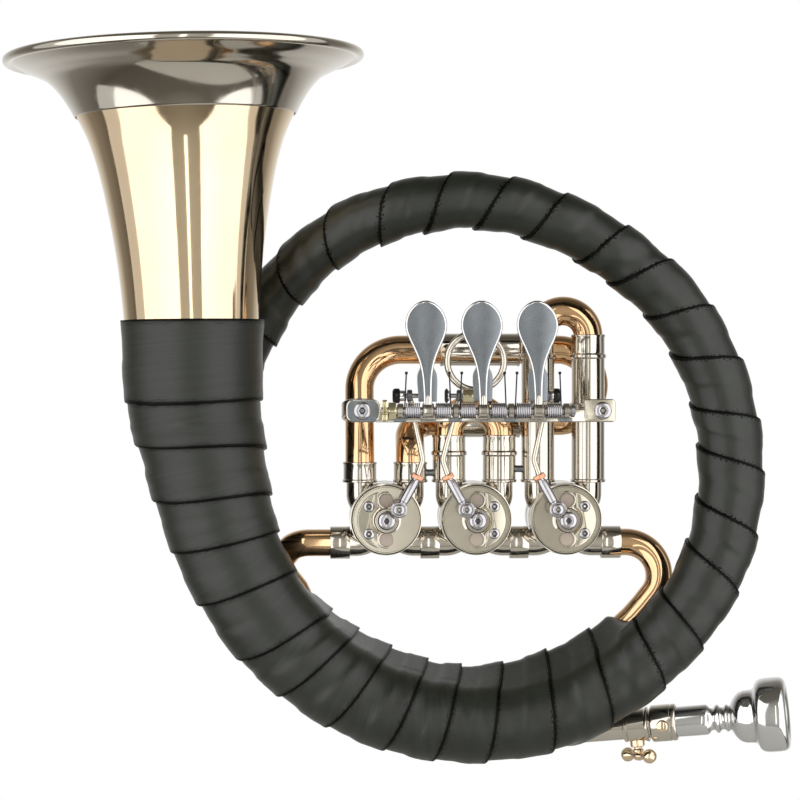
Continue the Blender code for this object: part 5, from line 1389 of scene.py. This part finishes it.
dress(
    painted(piped(inner[:-1] + bend, TUBE_RADIUS, 44), GOLD_BRASS), "inlet_bend", "bronze_tube", "horn", "inlet_tube"
)
print("the right bend's knee is at", [round(value, 1) for value in knee])

# %% [markdown]
# ## The mouth end
#
# A brass collar grips the pipe here. Its T-shaped screw, when loosened, lets the receiver slide for tuning. The
# receiver is turned nickel silver with a small stud, and the mouthpiece is turned and silver plated, so it shows
# the room as sharply as a mirror.

# %% Directions at the mouth end
YAW, PITCH = math.radians(13.6), math.radians(6.1)
MOUTH_AXIS = Vector((math.cos(PITCH) * math.cos(YAW), -math.cos(PITCH) * math.sin(YAW), math.sin(PITCH)))
MOUTH_FRONT = (Vector((0, -1, 0)) + MOUTH_AXIS * MOUTH_AXIS.y).normalized()
MOUTH_DOWN = MOUTH_AXIS.cross(MOUTH_FRONT)


MOUTH_START = Vector((57.2, 14.0, -107.3))  # where the mouthpipe enters the receiver


def mouth_at(distance):
    """A place on the mouth end's axis, in millimetres from where the mouthpipe enters the receiver."""
    return MOUTH_START + MOUTH_AXIS * distance


print("the mouth end points along", [round(part, 2) for part in MOUTH_AXIS])


# %% Pipe, collar and T-screw
inner = [bound_point(MOUTHPIPE, angle)[0] for angle in np.arange(156.3, 218.1, 3.0)]
pipe = piped([mouth_at(16.0), mouth_at(0.0), *inner], TUBE_RADIUS, 40)
dress(painted(pipe, NICKEL_SILVER), "leader_pipe", "nickel_silver", "horn", "mouthpipe")
band = turned(
    [
        (5.7, 5.3), (6.1, 5.3), (6.45, 5.6), (6.45, 6.6), (6.2, 6.8), (6.2, 7.1), (6.45, 7.3), (6.45, 13.9),
        (6.75, 14.3), (6.95, 14.7), (6.9, 15.1), (6.6, 15.4), (5.7, 15.4),
    ],
    mouth_at(0), MOUTH_AXIS, 80,
)
boss = turned(
    [(1.8, 5.6), (2.9, 5.6), (2.9, 8.1), (2.5, 8.6), (1.8, 8.6)], mouth_at(10.0), MOUTH_DOWN, 48
)
collar = as_one(painted(band, NICKEL_SILVER), painted(boss, YELLOW_BRASS))
dress(collar, "tuning_collar", "gold_brass", "horn", "clamp_collar")
bar_at = mouth_at(10.0) + MOUTH_DOWN * 12.2
toward = Matrix.Rotation(math.radians(40), 3, MOUTH_DOWN) @ MOUTH_AXIS
stem = turned(
    [(0, 7.2), (1.5, 7.2), (1.5, 9.4), (2.2, 9.8), (2.2, 10.5), (1.7, 11.0), (1.9, 12.2), (0, 12.2)],
    mouth_at(10.0), MOUTH_DOWN, 32,
)
half = [
    (0.0, 8.9), (1.2, 8.7), (2.2, 8.0), (2.85, 6.8), (2.85, 5.6), (2.3, 4.4), (1.6, 3.4), (1.5, 2.4), (2.0, 1.2),
    (2.1, 0.0),
]
bar = turned(half + [(r, -h) for r, h in reversed(half[:-1])], bar_at, toward, 40)
screw = as_one(painted(stem, YELLOW_BRASS), painted(bar, YELLOW_BRASS))
dress(screw, "tee_screw", "gold_brass", "clamp_screw", "clamp_screw")
print("the leader pipe has", len(pipe.data.polygons), "faces")

# %% Receiver
barrel = turned(
    [
        (6.25, 26.5), (6.8, 26.5), (7.15, 26.2), (7.3, 25.7), (7.3, 24.9), (7.1, 24.7), (7.1, 24.3), (7.3, 24.1),
        (7.3, 17.4), (7.1, 16.7), (6.6, 16.3), (4.35, 16.3), (4.35, -0.7), (3.6, -0.7), (3.6, 17.9), (6.25, 17.9),
    ],
    mouth_at(0), MOUTH_AXIS, 96,
)
stud = turned(
    [(0, 0), (2.3, 0), (2.3, 2.1), (2.15, 2.6), (1.8, 2.8), (0, 2.8)], mouth_at(21.4) + MOUTH_FRONT * 6.7,
    MOUTH_FRONT, 48,
)
receiver = as_one(painted(barrel, NICKEL_SILVER), painted(stud, YELLOW_BRASS))
dress(receiver, "mouthpiece_socket", "nickel_silver", "receiver", "mouthpiece_receiver")
print("the receiver has", len(receiver.data.polygons), "faces")

# %% [markdown]
# The mouthpiece is one turned piece: a broad rim, a round bowl, a narrow neck with two beads, and a shank that sits
# in the receiver. The section goes through its measured stations as they are, and its sharp edges are softened.

# %% Mouthpiece
OUTER = [
    (43.3, 9.9), (43.75, 11.0), (43.8, 11.8), (43.5, 13.0), (42.8, 13.9), (41.6, 14.45), (39.6, 14.6), (36.0, 14.55),
    (34.2, 14.35), (32.9, 13.8), (32.0, 12.8), (31.4, 11.3), (30.6, 10.6), (29.2, 10.4), (27.2, 10.3), (25.4, 9.8),
    (24.0, 8.8), (22.8, 7.4), (21.8, 5.6), (21.2, 4.8), (20.7, 5.0), (20.2, 5.4), (19.7, 5.3), (19.2, 4.7),
    (18.4, 4.3), (17.4, 4.6), (16.9, 5.4), (16.3, 5.6), (15.7, 5.4), (15.2, 4.7), (14.4, 4.2), (13.4, 4.6),
    (12.6, 5.6), (12.0, 5.95), (9.6, 6.0), (0.4, 5.95), (-8.0, 5.85),
]
CUP = [
    (-8.0, 1.9), (30.8, 1.9), (32.4, 3.6), (34.0, 5.4), (36.0, 6.7), (38.0, 7.4), (40.5, 8.0),
    (42.0, 8.3), (42.9, 8.9),
]
mouthpiece = turned([(r, h) for h, r in OUTER + CUP], mouth_at(26.5), MOUTH_AXIS, 128)
dress(
    painted(soften(mouthpiece, 0.12, 2, 40), SILVER_PLATE), "turned_mouthpiece", "silver_plate", "mouthpiece",
    "mouthpiece",
)
print("the mouthpiece has", len(mouthpiece.data.polygons), "faces")

# %% [markdown]
# ## Floor
#
# The horn stands free in the picture, with no shadow under it. A pale matt disc well below it stands for the studio
# floor, so views from above show what the horn hangs over and its soft shadow.

# %% Floor
FLOOR_RADIUS = 0.24
FLOOR_Z = -0.32
clear_selection()
bpy.ops.mesh.primitive_circle_add(vertices=96, radius=FLOOR_RADIUS, fill_type="NGON", location=(0, 0, FLOOR_Z))
floor = bpy.context.active_object
floor.name = "floor"
pale_floor, tree, shade = fresh_material("pale_matt_floor")
# a matt pale grey that leaves only a faint shadow, so nothing on it draws the eye
shade.inputs["Base Color"].default_value = colour("#e9e8e4")
shade.inputs["Roughness"].default_value = 0.9
floor.data.materials.append(pale_floor)
print("floor is", round(floor.dimensions.x, 2), "m across")

# %% [markdown]
# ## Camera and light
#
# The photograph looks straight at the horn's front from about a metre away. Two big soft boxes stand to the left
# and right of the camera and run back along the sides, with a narrow dark gap between them. The bell shows them as
# two broad bands with a thin line in the middle. The room is dim otherwise, and paler behind the camera's back.

# %% Camera
camera = bpy.data.objects.new("camera", bpy.data.cameras.new("camera"))
bpy.context.scene.collection.objects.link(camera)
CAMERA_AT = place(-60.6, -950.0, 39.9)
LENS, SENSOR = 109.33, 36.0  # millimetres
LOOK_AT = place(-27.4, 0.0, 23.5)
camera.location = CAMERA_AT
camera.rotation_euler = (LOOK_AT - CAMERA_AT).to_track_quat("-Z", "Y").to_euler()
camera.data.lens = LENS
camera.data.sensor_width = SENSOR
camera.data.clip_start = 0.05
bpy.context.scene.camera = camera
print("camera is", round((LOOK_AT - CAMERA_AT).length, 3), "m from the horn")


# %% Soft boxes
def soft_box(name, near, far, height, power):
    """A tall rectangular lamp that stands on the line from a near to a far place and faces the horn."""
    lamp = bpy.data.lights.new(name, "AREA")
    lamp.shape = "RECTANGLE"
    line = Vector((far[0] - near[0], far[1] - near[1], 0.0))
    lamp.size, lamp.size_y = line.length, height
    lamp.energy = power
    holder = bpy.data.objects.new(name, lamp)
    middle = Vector(((near[0] + far[0]) / 2, (near[1] + far[1]) / 2, -0.02))
    holder.location = middle
    out = Vector((line.y, -line.x, 0.0)).normalized()
    if out.dot(-middle) < 0:
        out.negate()
    across = line.normalized()
    up = Vector((0, 0, 1))
    turn = Matrix((across, up, -out)).transposed()
    if turn.determinant() < 0:
        turn = Matrix((-across, up, -out)).transposed()
    holder.rotation_euler = turn.to_euler()
    bpy.context.scene.collection.objects.link(holder)
    return holder


BOX_HEIGHT = 1.5
STRIP_LAMP_HEIGHT = 1.3
soft_box("box_left", (-0.38, -1.00), (-0.90, -0.12), BOX_HEIGHT, 7.8)
soft_box("box_right", (0.27, -1.00), (0.79, -0.12), BOX_HEIGHT, 7.8)
soft_box("box_left_skirt", (-0.90, -0.12), (-1.05, 0.20), BOX_HEIGHT, 1.0)
soft_box("box_right_skirt", (0.79, -0.12), (0.94, 0.20), BOX_HEIGHT, 1.0)
soft_box("gap_strip", (-0.095, -1.15), (-0.015, -1.15), STRIP_LAMP_HEIGHT, 0.6)
print(len(bpy.data.lights), "soft boxes stand round the horn")

# %% [markdown]
# The camera sees plain white behind the horn, and so does whatever looks past it. Metal that faces the camera
# mirrors the room on the camera's side, which is a mid grey, and the sides of the room are darker.

# %% World
world = bpy.data.worlds.new("studio")
bpy.context.scene.world = world
world.use_nodes = True
tree = world.node_tree
tree.nodes.clear()
path = node(tree, "ShaderNodeLightPath")
facing = node(tree, "ShaderNodeSeparateXYZ", Vector=node(tree, "ShaderNodeTexCoord").outputs["Generated"])
room_tone = node(tree, "ShaderNodeValToRGB")
aside = node(
    tree, "ShaderNodeMapRange", {"From Min": -1.0, "From Max": 1.0, "To Min": 0.0, "To Max": 1.0},
    Value=facing.outputs["Y"],
)
tree.links.new(aside.outputs["Result"], room_tone.inputs["Fac"])
room_tone.color_ramp.elements[0].position = 0.0
room_tone.color_ramp.elements[0].color = colour("#c4c2ba")
room_tone.color_ramp.elements[1].position = 1.0
room_tone.color_ramp.elements[1].color = colour("#f4f4f2")
for position, code in ((0.06, "#b0aea6"), (0.22, "#6a665e"), (0.55, "#5a564e"), (0.80, "#8f8c86")):
    room_tone.color_ramp.elements.new(position).color = colour(code)
room = node(tree, "ShaderNodeBackground", {"Strength": 1.0}, Color=room_tone.outputs["Color"])
white = node(tree, "ShaderNodeBackground", {"Color": colour("#ffffff"), "Strength": 1.0})
both = node(tree, "ShaderNodeMixShader", Fac=path.outputs["Is Camera Ray"])
tree.links.new(room.outputs["Background"], both.inputs[1])
tree.links.new(white.outputs["Background"], both.inputs[2])
node(tree, "ShaderNodeOutputWorld", Surface=both.outputs["Shader"])
bpy.context.scene.view_settings.view_transform = "Standard"
print("lights are set")
